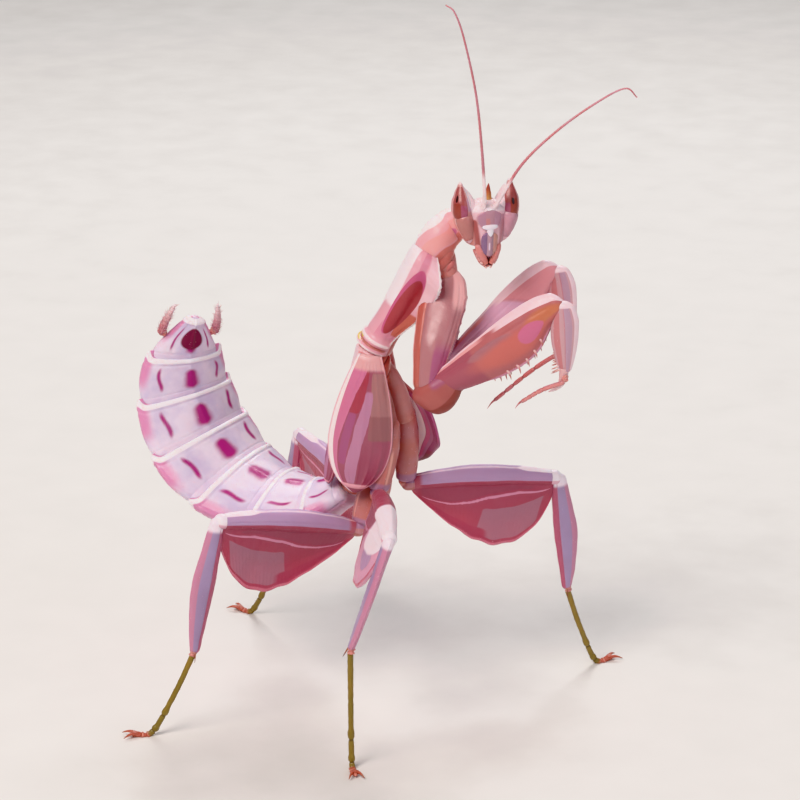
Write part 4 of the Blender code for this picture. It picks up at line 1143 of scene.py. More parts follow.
def build_skull():
    left, face = head_frame()[::2]
    t = stretch(150)
    level, width, front, nape = blend(HEAD_LEVELS, t).T
    scale = dome(t, HEAD_LEVELS[-1][0] - HEAD_LEVELS[0][0], (0.3, 0.35))[:, 0]
    angle = turns(150)
    outline = oval(width * scale, front * scale, nape * scale, angle, HEAD_POWER)
    centres = on_head(np.stack((0 * level, level, 0 * level), axis=-1))
    swept = CHEEK_SWEEP * (outline[..., :1] / 2.1) ** 2 * (1 - ease(level, -0.1, 0.9))[:, None, None]
    points = centres[:, None] + outline[..., :1] * left + (outline[..., 1:] - swept) * face
    skin = Skin(points, t[:, None], angle[None, :], {})
    x, y, z = in_head(points)
    front = ease(z, -0.5, -0.1)
    side = np.abs(x)
    strip_place = 1.08 + 0.16 * (y + 0.6)
    strip = ridge(side, strip_place, 0.24) * front * band(y, -2.3, 0.1, 0.2)
    cheek = blot((side - 1.62) / 0.48, (y + 0.85) / 0.8, 0.25) * front
    groove = ridge(side, 0.42 + 0.16 * (y - 0.5), 0.05) * ease(y, 0.45, 0.7) * front
    relief = (
        0.04 * cheek + 0.05 * strip - 0.04 * groove
        - 0.1 * blot(x / 0.9, (y + 0.25) / 0.8, 0.4) * front
        + 0.14 * blot(x / 0.42, (y - 0.72) / 0.32, 0.7) * front
        + 0.02 * ripple(points, 0.9, 81) + 0.006 * ripple(points, 0.35, 82)
    )
    skin = emboss(skin, relief)
    skin = masked(
        skin,
        crown=ease(y, 0.45, 0.9),
        side=ease(x, 0.6, 1.0) * (1 - ease(y, 0.2, 0.6)),
        jowl=ease(-x, 0.9, 1.3) * (1 - ease(y, -0.2, 0.3)),
        strip=strip * (0.5 + 0.5 * ease(-x, -0.2, 0.2)),
        seam=0.5 * groove + 0.6 * ridge(side, strip_place + 0.36, 0.04) * front * band(y, -1.7, 0.0, 0.15),
        # a painted highlight on the brow below the horn
        spot=blot(x / 0.26, (y - 0.72) / 0.16, 0.5) * front,
    )
    sides = [skin]
    for sign in SIDES.values():
        part = limb(on_head(CHEEK_FOOT, sign), on_head(CHEEK_TOP, sign), face, CHEEK, 80, 80, (0.5, 0.3))
        out = np.arctan2(sign * np.cos(part.around), np.sin(part.around))
        plate = band(out, -0.9, 1.2, 0.12) * (1 - ease(part.along, 0.84, 0.9)) * ease(part.along, 0.1, 0.2)
        part = emboss(part, 0.04 * plate + 0.02 * ripple(part.points, 0.9, 79))
        tones = {"cheek": plate} if sign < 0 else {"cheek": 0.3 * plate, "side": plate}
        sides.append(masked(part, jowl=ease(out, 1.2, 1.35) * (sign < 0), **tones))
        part = limb(on_head(BROW_FOOT, sign), on_head(BROW_TOP, sign), face, BROW, 90, 80, (0.5, 0.15))
        sides.append(
            masked(emboss(part, 0.02 * ripple(part.points, 0.8, 80)), crown=0.35 + 0.65 * part.along)
        )
    show("skull", sides, "head", "head")
    hairs = 0.02 + front * ease(y, 0.3, 0.7)
    grow_bristles(skin, hairs, 90, 0.12, "head", 83, radius=0.009, name="skull_bristles")

    shield = face_plate(SHIELD, 0.14, crown=0.2)
    x, y = in_head(shield.points)[:2]
    arch = ridge(np.abs(x), 0.36, 0.05) * band(y, -0.7, 0.2, 0.15)
    shield = emboss(shield, 0.02 * ripple(shield.points, 0.6, 84) - 0.03 * arch)
    edge = np.clip(np.abs(np.cos(shield.around)) ** 10 + ridge(shield.along, 0.02, 0.04), 0, 1)
    shield = masked(
        shield,
        side=ease(np.abs(x), 0.32, 0.4),
        middle=band(x, -0.34, 0.0, 0.04) * (1 - ease(y, 0.1, 0.3)),
        rim=0.7 * edge + 0.35 * arch,
    )
    show("face_shield", shield, "face_shield", "head", False)

    # The clypeus bar and the nose lobe under it are white as a painted highlight
    lobes = [face_plate(CLYPEUS, 0.24, 44, 64, 0.14), face_plate(NOSE, 0.26, 44, 48, 0.2)]
    lobes = [masked(lobe, rim=0.5 * np.abs(np.cos(lobe.around)) ** 8) for lobe in lobes]
    show("clypeus", lobes, "clypeus", "head", False)

    lip = face_plate(LABRUM, 0.16, 80, 72, 0.45)
    x, y = in_head(lip.points)[:2]
    folds = 0.05 * ridge(x, 0, 0.12) - 0.04 * ridge(np.abs(x), 0.26, 0.05)
    lip = plated(
        "labrum", lip, folds + 0.015 * ripple(lip.points, 0.5, 85), "lip", "head", False,
        side=1 - ease(x, -0.3, -0.2),
        middle=ease(x, 0.2, 0.3),
        rim=0.7 * (1 - ease(y, -2.9, -2.7)),
        spot=0.8 * ridge(x, -0.08, 0.07) * band(y, -2.4, -1.7, 0.15),
    )
    grow_bristles(lip, 1 - ease(y, -2.9, -2.5), 50, 0.1, "head", 86, radius=0.008, name="labrum_bristles")


def build_mouth():
    face = head_frame()[2]
    jaw = limb(on_head(JAW_TIP), on_head(JAW_ROOT), face, JAW, 80, 80, (0.4, 0.1))
    x, y, z = in_head(jaw.points)
    relief = -0.09 * ridge(x, 0, 0.05) * (z > 0) - 0.06 * ridge(np.abs(x), 0.34, 0.05) * (z > 0)
    jaw = emboss(jaw, relief + 0.02 * ripple(jaw.points, 0.6, 87))
    opening = 0.3 * (y + 3.85)
    # Painted shadow in the gap of the mouth, between the mandibles, on the labium's front
    gape_shade = (1 - ease(np.abs(x), opening, opening + 0.1)) * band(y, -3.7, -2.6, 0.08) * (z > 0)
    jaw = masked(jaw, seam=np.maximum(gape_shade, 0.6 * ridge(x, 0, 0.04) * (z > 0)), rim=1 - ease(y, -3.95, -3.7))
    show("labium", jaw, "jaw", "mouthparts")
    for side, sign in SIDES.items():
        route = [on_head(place, sign) for place in MANDIBLE]
        skin = tube(
            route, face, ((0.18, 0.18, 0.2), (0.32, 0.26, 0.3), (0.28, 0.22, 0.28), (0.13, 0.12, 0.2)), 70,
            44
        )
        skin = emboss(skin, 0.02 * ripple(skin.points, 0.4, 88))
        edge = ridge(lift(skin), 0.35, 0.1) * band(skin.along, 0.1, 0.9, 0.08)
        skin = masked(
            skin, rim=0.7 * edge, side=(lift(skin) < -0.3) * 0.8, seam=0.9 * ease(skin.along, 0.9, 0.96)
        )
        show(f"mandible_{side}", skin, "jaw", "mouthparts", False)
        route = [on_head(place, sign) for place in GALEA]
        skin = tube(route, face, (0.16, 0.22, 0.2, 0.1), 44, 36, (0.2, 0.25))
        skin = plated(
            f"galea_{side}", skin, 0.015 * ripple(skin.points, 0.5, 89), "jaw", "mouthparts", False,
            rim=0.7 * ease(skin.along, 0.6, 0.9),
        )

        node = f"palps_{side}"
        skins = []
        for route, radii, joints in PALPS:
            skin = tube([on_head(place, sign) for place in route], face, radii, 90, 28, (0.15, 0.2))
            waist = np.abs(np.sin(np.pi * joints * (skin.along + 0.02)))
            skin = emboss(skin, 0.04 * np.minimum(waist, 0.6) - 0.03)
            skins.append(masked(skin, ring=1 - ease(waist, 0.1, 0.4), pale=0.7 * ease(skin.along, 0.3, 0.9)))
        show(f"{node}_joints", skins, "palp", node)
        grow_bristles(skins[0], 1.0, 40, 0.08, node, 92 + sign, radius=0.007, lean=0.9)


def build_eyes():
    """Tall cones that grow out of the cheeks. The dark slit stands where the facets look at the viewer."""
    face = head_frame()[2]
    for side, sign in SIDES.items():
        foot, top = on_head(EYE_FOOT, sign), on_head(EYE_TOP, sign)
        skin = limb(foot, top, face, EYE, 130, 100, (0.5, 0.2), (0.2, 0))
        t = skin.along
        out = np.arctan2(sign * np.cos(skin.around), np.sin(skin.around))
        look, (pupil_out, pupil_up) = EYE_LOOK[side], PUPILS[side]
        skin = emboss(skin, 0.02 * ripple(skin.points, 0.9, 95))
        front = band(out, look - 0.75, look + 0.85, 0.08)
        skin = masked(
            skin,
            lavender=band(out, look - 1.5, look - 0.75, 0.1) * band(t, 0.3, 0.62, 0.08),
            rim=0.8 * ease(out, look + 0.85, look + 0.95) * (1 - ease(t, 0.75, 0.9)),
            facet=front * (1 - ease(t, 0.86, 0.94)),
            deep=band(out, look - 0.05, look + 0.75, 0.1) * band(t + 0.05 * out, 0.04, 0.56, 0.06),
            mauve=band(out, look - 0.7, look - 0.05, 0.1) * band(t - 0.05 * out, 0.03, 0.46, 0.06),
            # white at the tips, and a painted highlight up the inner side
            white=ease(t, 0.92, 0.98) + 0.9 * (1 - ease(out, look - 1.15, look - 0.9)) * ease(t, 0.3, 0.45),
            pupil=blot((t - pupil_up) / 0.085, (out - pupil_out + 0.4 * (t - pupil_up)) / 0.16, 0.3),
        )
        show(f"compound_eye_{side}", skin, "eye", f"eye_{side}")


def build_horn():
    skin = thorn(on_head(HORN_FOOT), on_head(HORN_TIP), 0.4, (0, 0, 0), 60, 36)
    skin = emboss(
        skin, 0.02 * np.sin(5 * skin.around) * (1 - skin.along) + 0.015 * ripple(skin.points, 0.4, 96)
    )
    show("horn_cone", skin, "horn", "vertex_horn")
    face = head_frame()[2]
    skins = []
    for x, y in ((0, 0.95), (0.26, 1.1), (-0.26, 1.1)):
        z = muzzle(x, y)
        skin = limb(
            on_head((x, y, z - 0.1)), on_head((x, y + 0.05, z + 0.1)), face, ((0.1, 0.1, 0.1),) * 3, 24, 28
        )
        skins.append(skin)
    show("ocelli", skins, "ocellus", "eye_left", False)


def build_antennae():
    for side, sign in SIDES.items():
        node = f"antenna_{side}"
        root = on_head(ANTENNA_ROOTS[side])
        route = chain(root, ANTENNA_LINKS[side])
        skin = tube(route, heading(FACE_AZIMUTH, 0), ANTENNA_RADII, 420, 14, (0.1, 0.1))
        beads = np.abs(np.sin(np.pi * 62 * skin.along)) ** 0.6
        skin = emboss(skin, 0.016 * beads - 0.008)
        skin = masked(skin, pale=1 - ease(skin.along, 0.06, 0.16), ring=0.3 * (1 - beads))
        socket = on_head((0.46 * sign, 0.98, muzzle(0.46, 0.98) - 0.12))
        way = unit(route[1] - route[0])
        base = tube(
            (socket, (socket + root) / 2, root + 0.9 * way), WORLD_UP, SCAPE_RADII, 60, 30, (0.1, 0.12)
        )
        base = masked(base, ring=0.5 * ridge(base.along, 0.5, 0.02), pale=0.95)
        show(f"{node}_joints", [skin, base], "antenna", node)
        grow_bristles(skin, 1.0, 220, 0.07, node, 97 + sign, radius=0.006, lean=1.2)


def build_neck(back, front, top):
    """The neck: a thick, smooth arch of skin from the shield to the nape, and the full throat under it."""
    way = heading(*PRONOTUM_LINK[1:])
    start, mouth, end = front + NECK_START * way, front + NECK_MOUTH * way, on_head(NAPE)
    route = (start, mouth, (mouth + end) / 2 + NECK_BOW, end)
    skin = tube(route, WORLD_UP, NECK, 130, 96, (0.4, 0.2))
    t, rise = skin.along, lift(skin)
    folds = 0.008 * np.sin(2 * np.pi * 7 * t + 0.8 * np.sin(skin.around)) * (1 - ease(rise, -0.2, 0.4))
    plated(
        "neck_skin", skin, folds + 0.03 * ripple(skin.points, 1.4, 98), "neck", "neck",
        low=1 - ease(rise, -0.75, -0.45),
        salmon=band(rise, -0.5, 0.3, 0.15),
        magenta=0.8 * blot((t - 0.7) / 0.12, (rise + 0.45) / 0.25, 0.6),
        # a painted highlight along the top of the neck
        back=ease(rise, 0.85, 1.1),
    )
    way = front - back
    route = [back + t * way - drop * top for t, drop in THROAT]
    skin = tube(route, top, THROAT_RADII, 90, 64, (0.6, 0.6))
    plated(
        "throat_skin", skin, 0.03 * ripple(skin.points, 1.2, 99), "neck", "neck", False,
        low=0.85,
        salmon=0.5 * ease(lift(skin), 0.2, 0.8),
    )


# ---------------------------------------------------------------- grasping legs


def femur_spines(elbow, knee, top, outward):
    """Long outer spines, a close inner row of long and short ones by turns, and four more at the base."""
    along = unit(knee - elbow)
    skins = []

    def stand(t, offset, length, radius, spread):
        depth = 0.93 * blend(FORE_FEMUR, t)[0][2] - 0.25
        root = elbow + t * (knee - elbow) - depth * top + offset * outward
        tip = root - length * (top + 0.18 * along) + spread * outward
        skins.append(thorn(root, tip, radius, 0.07 * along, 12, 12))

    for k in range(5):
        stand(0.5 + 0.07 * k, 0.45, 0.85 - 0.05 * k, 0.12, 0.12)
    for k in range(13):
        stand(0.46 + 0.03 * k, -0.36, (0.4, 0.7)[k % 2], (0.07, 0.1)[k % 2], -0.06)
    for k, offset in enumerate((0.28, 0.08, -0.1, 0.2)):
        stand(0.4 + 0.03 * k, offset, (0.5, 0.75, 0.85, 0.6)[k], 0.11, 0.05)
    return skins


def tibia_comb(knee, wrist, shin, inner, outward):
    """Two close rows of teeth that grow longer down the tibia, and the hook at its end."""
    skins = []
    for count, offset in ((11, 0.2), (14, -0.2)):
        for k in range(count):
            f = k / (count - 1)
            root = knee + (0.36 + 0.56 * f) * (wrist - knee) + 0.42 * inner + offset * outward
            length = 0.35 + 0.5 * f
            skins.append(thorn(root, root + length * (0.85 * inner + 0.42 * shin), 0.08, 0.04 * shin, 12, 10))
    hook = thorn(
        wrist - 0.5 * shin + 0.1 * inner, wrist + 1.5 * shin + 1.5 * inner, 0.4, 0.34 * (shin - inner), 40, 24
    )
    return skins, hook


def build_coxa(side, root, elbow, outward):
    node = f"fore_coxa_{side}"
    way = unit(elbow - root)
    skin = limb(root, elbow, heading(0, 10), FORE_COXA, 180, 116, (1.2, 1.3), (0.2, -0.55))
    t, rise = skin.along, lift(skin)
    tucked = -2.3 * (1 - ease(t, 0.06, 0.66))[..., None] * outward
    skin = skin._replace(points=skin.points + tucked)
    teeth = sum(ridge(t, place, 0.012) for place in (0.22, 0.31, 0.4, 0.5, 0.59, 0.68, 0.77))
    front = ridge(rise, 1.3, 0.1) * band(t, 0.1, 0.93, 0.06)
    heel = ridge(rise, -1.3, 0.1) * band(t, 0.06, 0.95, 0.06)
    relief = (
        0.05 * front + 0.06 * ridge(rise, 1.3, 0.06) * teeth + 0.07 * heel
        - 0.05 * ridge(rise, 0.95, 0.08) * band(t, 0.12, 0.92, 0.06)
        - 0.07 * ridge(rise, -0.58, 0.07) * band(t, 0.06, 0.95, 0.06)
        + 0.03 * ripple(skin.points, 2.2, 101) + 0.008 * ripple(skin.points, 0.6, 102)
    )
    skin = plated(
        f"{node}_plate", skin, relief, "fore_coxa", node,
        salmon=1 - ease(rise, -0.66, -0.52),
        mauve=ease(rise, 0.05, 0.35) * ease(t, 0.45, 0.7),
        # painted highlights along the heel and over the top near the root
        pale=heel + 0.9 * ease(rise, 0.35, 0.75) * (1 - ease(t, 0.2, 0.4)),
        rim=0.6 * front,
    )
    grow_bristles(skin, front + heel, 90, 0.16, node, 103, radius=0.012)
    start = root - 1.6 * way - 1.9 * outward - (0.6, 0, 0)
    finish = root + 1.3 * way - 2.3 * outward
    cuff(f"{node}_root_skin", start, finish, outward, (0.8, 0.95, 0.9), node, 3, "throat", 0.01)


def build_fore_leg(side):
    root, elbow, knee, wrist, toe = chain(WAIST + FORE_ROOTS[side], FORE_LINKS[side])
    upper, forearm, shin = (unit(b - a) for a, b in ((root, elbow), (elbow, knee), (knee, wrist)))
    outward = np.array((0.0, SIDES[side], 0.0))
    top = axes(forearm, WORLD_UP)[1]
    inner = unit(np.dot(forearm, shin) * shin - forearm)
    far = float(side == "left")
    build_coxa(side, root, elbow, outward)

    node = f"fore_trochanter_{side}"
    skin = limb(elbow, elbow + 2.7 * forearm, top, FORE_TROCHANTER, 100, 96, (1.2, 0.4), (-1.45, 0))
    t, rise = skin.along, lift(skin)
    seam = ridge(t, 0.9 - 0.06 * np.sin(rise), 0.02)
    plated(
        f"{node}_plate", skin, 0.03 * ripple(skin.points, 1.2, 104) - 0.05 * seam, "elbow", node,
        # darker underneath: painted shade
        belly=1 - ease(rise, -0.85, -0.6),
        mauve=ease(t, 0.4, 0.65) * ease(rise, -0.3, 0.2),
    )
    cuff(f"{node}_skin", elbow - 1.6 * upper, elbow + 0.2 * forearm, outward, (0.8, 0.85, 0.75), node, 3)

    node = f"fore_femur_{side}"
    skin = limb(elbow, knee, top, FORE_FEMUR, 190, 136, (0.6, 0.7), (0.0, -0.3))
    t, rise = skin.along, lift(skin)
    out = -SIDES[side] * np.cos(skin.around)
    under = band(t, 0.36, 0.86, 0.06)
    rails = ridge(rise, -1.2, 0.12) * under
    relief = (
        0.12 * rails - 0.16 * (1 - ease(rise, -1.5, -1.3)) * under
        + 0.07 * ridge(rise, np.pi / 2, 0.16) * band(t, 0.1, 0.95, 0.08)
        - 0.05 * ridge(rise, 0.62 - 0.3 * t, 0.07) * band(t, 0.16, 0.9, 0.1)
        + 0.03 * ripple(skin.points, 2.6, 106) + 0.008 * ripple(skin.points, 0.7, 107)
    )
    skin = emboss(skin, relief)
    crest = ease(rise, 1.05 - 0.5 * t, 1.16 - 0.5 * t)
    skin = masked(
        skin,
        # the far femur's own lilac and rose, made lighter to lift the near femur's shadow on it: partly
        # painted light
        lilac=far * (1 - ease(t + 0.12 * rise, 0.66, 0.78)),
        rose=far * ease(t + 0.12 * rise, 0.66, 0.78),
        mauve=(1 - far) * (1 - ease(t, 0.3, 0.45)) * (1 - crest),
        smoke=(1 - far) * blot((t - 0.52 + 0.1 * rise) / 0.16, (rise - 0.2) / 0.36, 0.3),
        salmon=(1 - far) * blot((t - 0.62 + 0.12 * rise) / 0.3, (rise + 0.3) / 0.5, 0.7),
        magenta=(1 - far) * blot((t - 0.76) / 0.09, (rise + 0.2) / 0.4, 0.25),
        amber=(1 - far) * blot((t - 0.87) / 0.12, (rise - 0.1) / 0.42, 0.6),
        # the pale upper rim and the ridge beside it: partly the femur's own colour, partly a painted
        # highlight
        blush=crest * (1 - ease(t, 0.3, 0.6)),
        pale=crest * ease(t, 0.45, 0.7) + 0.9 * ridge(rise, 1.4, 0.14) * band(t, 0.1, 0.95, 0.05),
        rim=0.9 * rails * (out > 0),
    )
    show(f"{node}_shell", skin, "fore_femur", node)
    grow_bristles(skin, rails, 110, 0.16, node, 108, radius=0.012)
    show(f"{node}_spines", femur_spines(elbow, knee, top, outward), "spine", node, False)

    tibia = f"fore_tibia_{side}"
    cuff(
        f"fore_knee_skin_{side}", knee - 1.5 * forearm, knee + 0.9 * shin, outward, (0.42, 0.5, 0.4), tibia,
        3
    )

    skin = limb(knee, wrist, -inner, FORE_TIBIA, 120, 84, (0.5, 0.3), (-0.35, 0.1))
    t, rise = skin.along, lift(skin)
    beds = ridge(rise, -1.05, 0.14) * band(t, 0.3, 0.92, 0.06)
    relief = (
        0.06 * beds + 0.06 * ridge(rise, np.pi / 2, 0.2) * band(t, 0.08, 0.9, 0.08)
        - 0.05 * ridge(rise, 0.2, 0.06) * band(t, 0.1, 0.92, 0.06)
        + 0.02 * ripple(skin.points, 1.5, 110)
    )
    skin = plated(
        f"{tibia}_shell", skin, relief, "fore_tibia", tibia,
        stripe=band(rise, 0.2, 0.75, 0.06),
        rose=band(rise, -0.75, -0.15, 0.06) * ease(t, 0.06, 0.2) + 0.8 * ridge(rise, 0.2, 0.05),
        pale=ease(rise, 0.85, 1.05) + (1 - ease(t, 0.04, 0.12)),
        rim=0.5 * beds,
    )
    grow_bristles(skin, beds + 0.02, 90, 0.14, tibia, 111, radius=0.012)
    comb, hook = tibia_comb(knee, wrist, shin, inner, outward)
    show(f"{tibia}_comb", comb, "spine", tibia, False)
    show(f"{tibia}_hook", hook, "hook", tibia, False)

    node = f"fore_tarsus_{side}"
    start = wrist + 0.45 * shin + 0.68 * outward
    middle = (start + toe) / 2 + 0.25 * WORLD_UP + 0.2 * outward
    skin = tube((start, middle, toe), outward, FORE_FOOT_RADII, 170, 24)
    t = skin.along
    narrow = sum(ridge(t, place, 0.014) for place in FORE_FOOT_JOINTS)
    relief = 0.05 * (t - 0.3) * band(t, 0, 0.5, 0.05) - 0.055 * narrow
    skin = masked(emboss(skin, relief), ring=0.8 * narrow, pale=0.7 * ease(lift(skin), 0.4, 1.0))
    way = unit(toe - middle)
    claws = [
        thorn(
            toe - 0.15 * way, toe + 0.62 * way + turn * 0.3 * outward - 0.2 * WORLD_UP, 0.09, (0, 0, 0.1),
            20, 12
        )
        for turn in (1, -1)
    ]
    show(f"{node}_joints", [skin, *claws], "fore_foot", node)
    grow_bristles(skin, 1.0, 110, 0.12, node, 112, radius=0.009, lean=0.9)
    cuff(f"{node}_socket", wrist + 0.1 * shin + 0.1 * outward, start, WORLD_UP, (0.26, 0.25, 0.2), node, 2)


# ---------------------------------------------------------------- walking legs


def petal_skin(start, end, up, trims, rings=140, shaft=30, blade=50):
    """A round shaft with a thin petal of cuticle under it. Gives its place down the petal too, 0 to 1."""
    start, end = span(start, end, trims)
    side, top = axes(end - start, up)
    t = stretch(rings)
    width, over, under = (blend(WALK_FEMUR, t) * dome(t, np.linalg.norm(end - start), (0.4, 0.4))).T
    centres = start + t[:, None] * (end - start) + WALK_FEMUR_BOW * np.sin(np.pi * t)[:, None] * top
    skew = np.log(0.5) / np.log(PETAL_PEAK)
    foot = under + PETAL_DEPTH * np.maximum(np.sin(np.pi * t**skew), 0) ** PETAL_FULLNESS
    foot = foot * (1 - 0.012 * (1 + np.sin(2 * np.pi * 6.5 * t)) * np.sin(np.pi * t))
    turn = np.pi / 2 - np.radians(140) * np.arange(shaft + 1) / shaft
    a = width[:, None] * np.cos(turn)
    b = np.where(turn > 0, over[:, None], under[:, None]) * np.sin(turn)
    f = np.arange(1, blade + 1) / blade
    f = 1 - (1 - f) ** 1.3
    bead = np.sqrt(np.clip(1 - np.clip((f - 0.955) / 0.045, 0, 1) ** 2, 0, 1))
    thick = (PETAL_BLADE / 2) * (0.82 - 0.42 * f + 0.14 * ridge(f, 0.95, 0.04)) * bead
    wide = a[:, -1:] + (thick - a[:, -1:]) * np.minimum(1, 1.6 * f)
    low = b[:, -1:] - (foot[:, None] + b[:, -1:]) * f
    a, b = np.hstack((a, wide)), np.hstack((b, low))
    down = np.concatenate((np.zeros(shaft + 1), f))
    a = np.hstack((a, -a[:, -2:0:-1]))
    b = np.hstack((b, b[:, -2:0:-1]))
    down = np.concatenate((down, down[-2:0:-1]))[None, :]
    sag = 0.34 * np.sin(np.pi * down * 0.9) * np.sin(np.pi * t)[:, None]
    points = centres[:, None] + (a + sag)[..., None] * side + b[..., None] * top
    return Skin(points, t[:, None], np.arctan2(b, a), {}), down


def build_petal(name, node, hip, knee, up):
    skin, f = petal_skin(hip, knee, up, (0.25, 0.2))
    t = skin.along
    on_blade = ease(f, 0.0, 0.06)
    course = np.interp(t, (0.1, 0.24, 0.37, 0.54, 0.75, 1), (0.62, 0.46, 0.34, 0.2, 0.14, 0.22))
    main = ridge(f, course, 0.024) * band(t, 0.08, 0.97, 0.04)
    fan = 2 * np.pi * 30 * (t - 0.32 * f * (0.4 - t)) * on_blade
    lanes = sum(ridge(t - 0.3 * f * (t - 0.5), place, 0.006) for place in np.linspace(0.2, 0.9, 9))
    lanes = lanes * band(f, 0.25, 0.93, 0.06)
    rim = ridge(f, 0.965, 0.03)
    shaft = 1 - on_blade
    rise = lift(skin)
    relief = (
        0.06 * main + 0.02 * lanes + 0.05 * rim
        + shaft * (0.05 * ridge(rise, np.pi / 2, 0.2) - 0.04 * ridge(rise, 0.1, 0.08))
        + 0.04 * ripple(skin.points, 2.6, 121) + 0.01 * ripple(skin.points, 0.8, 122)
    )
    skin = emboss(skin, relief * np.minimum(1, 8 * np.minimum(t, 1 - t)))
    # The mid-right petal gets a painted highlight, pale pink towards the knee and white near the shaft, with
    # a lilac patch in it
    highlight_strength = PETAL_HIGHLIGHT.get(name, 0.0)
    painted_highlight = highlight_strength * ease(t + 0.25 * f, 0.5, 0.62)
    patch = highlight_strength * blot((t - 0.72) / 0.13, (f - 0.5) / 0.22, 0.3)
    skin = masked(
        skin,
        fan=fan,
        facet=band(t + 0.1 * f, 0.54, 0.96, 0.03) * band(f, 0.36 + 0.1 * (0.8 - t), 0.9, 0.04),
        blush=ease(f, 0.7, 0.8) * (1 - ease(t, 0.45, 0.6)) + 0.6 * ease(f, 0.93, 0.96),
        hollow=(1 - ease(f, course - 0.08, course - 0.03)) * on_blade * band(t, 0.08, 0.85, 0.06),
        lilac=ease(rise, -0.4, 0.0) * shaft * (1 - highlight_strength) + patch,
        pink=painted_highlight * (1 - patch),
        salmon=(1 - ease(t, 0.03, 0.12)) * (1 - 0.5 * on_blade),
        vein=main * (1 - painted_highlight) + 0.18 * lanes,
        rim=0.85 * rim,
        # painted highlights on top of the shaft near the knee, along its ridge, and near the shaft on the
        # highlighted blade
        white=0.85 * ease(rise, 0.7, 1.1) * shaft * ease(t, 0.72, 0.82)
        + 0.55 * ridge(rise, 1.25, 0.2) * shaft * (1 - highlight_strength)
        + 0.95 * painted_highlight * (1 - ease(f, 0.35, 0.55)) * ease(t, 0.45, 0.6),
    )
    show(f"{name}_femur_petal", skin, "petal_femur", node)
    grow_bristles(skin, rim + 0.02 * shaft, 120, 0.12, node, 123, radius=0.01, name=f"{name}_femur_bristles")


def build_foot(name, ankle, toe):
    toe = np.array((*toe[:2], FOOT_HEIGHT))
    start = ankle + 0.02 * (toe - ankle)
    way = unit((toe - ankle) * (1, 1, 0))
    across = np.cross(WORLD_UP, way)
    knuckle = toe - FOOT_LENGTH * way
    route = (start, (start + knuckle) / 2 - 0.2 * way, knuckle, toe)
    skin = tube(route, across, FOOT_RADII, 260, 28, (0.15, 0.15))
    t = skin.along
    narrow = sum(ridge(t, place, 0.008) for place in FOOT_JOINTS)
    swell = sum(band(t, place - 0.045, place - 0.008, 0.012) for place in FOOT_JOINTS)
    skin = emboss(skin, 0.055 * swell - 0.05 * narrow + 0.015 * ripple(skin.points, 0.8, 131))
    skin = masked(
        skin,
        ring=0.85 * narrow,
        red=ease(t, 0.62, 0.8),
        pale=0.7 * swell * ease(t, 0.6, 0.8),
    )
    skins = [skin]
    reach, spread, drop, radius = FOOT_CLAW
    for turn in (1, -1):
        root = toe - 0.35 * way + turn * 0.08 * across
        tip = root + reach * way + turn * spread * across - drop * WORLD_UP
        claw = thorn(root, tip, radius, 0.14 * WORLD_UP, 30, 16)
        skins.append(masked(claw, ring=0.8 * claw.along, red=1 - 0.5 * claw.along))
    pad = limb(
        toe - 0.2 * way, toe + 0.32 * way - 0.08 * WORLD_UP, WORLD_UP, ((0.16, 0.12, 0.14),) * 3, 30, 24
    )
    skins.append(masked(pad, pale=0.6, red=0.8))
    skins = [part._replace(points=above_floor(part.points)) for part in skins]
    show(f"{name}_foot_joints", skins, "walking_foot", f"{name}_tarsus")
    hairs = ease(t, 0.1, 0.3) + 0.2
    grow_bristles(
        skins[0], hairs, 160, 0.1, f"{name}_tarsus", 132, lean=0.9, radius=0.009, finish="foot_bristle",
        name=f"{name}_foot_bristles"
    )


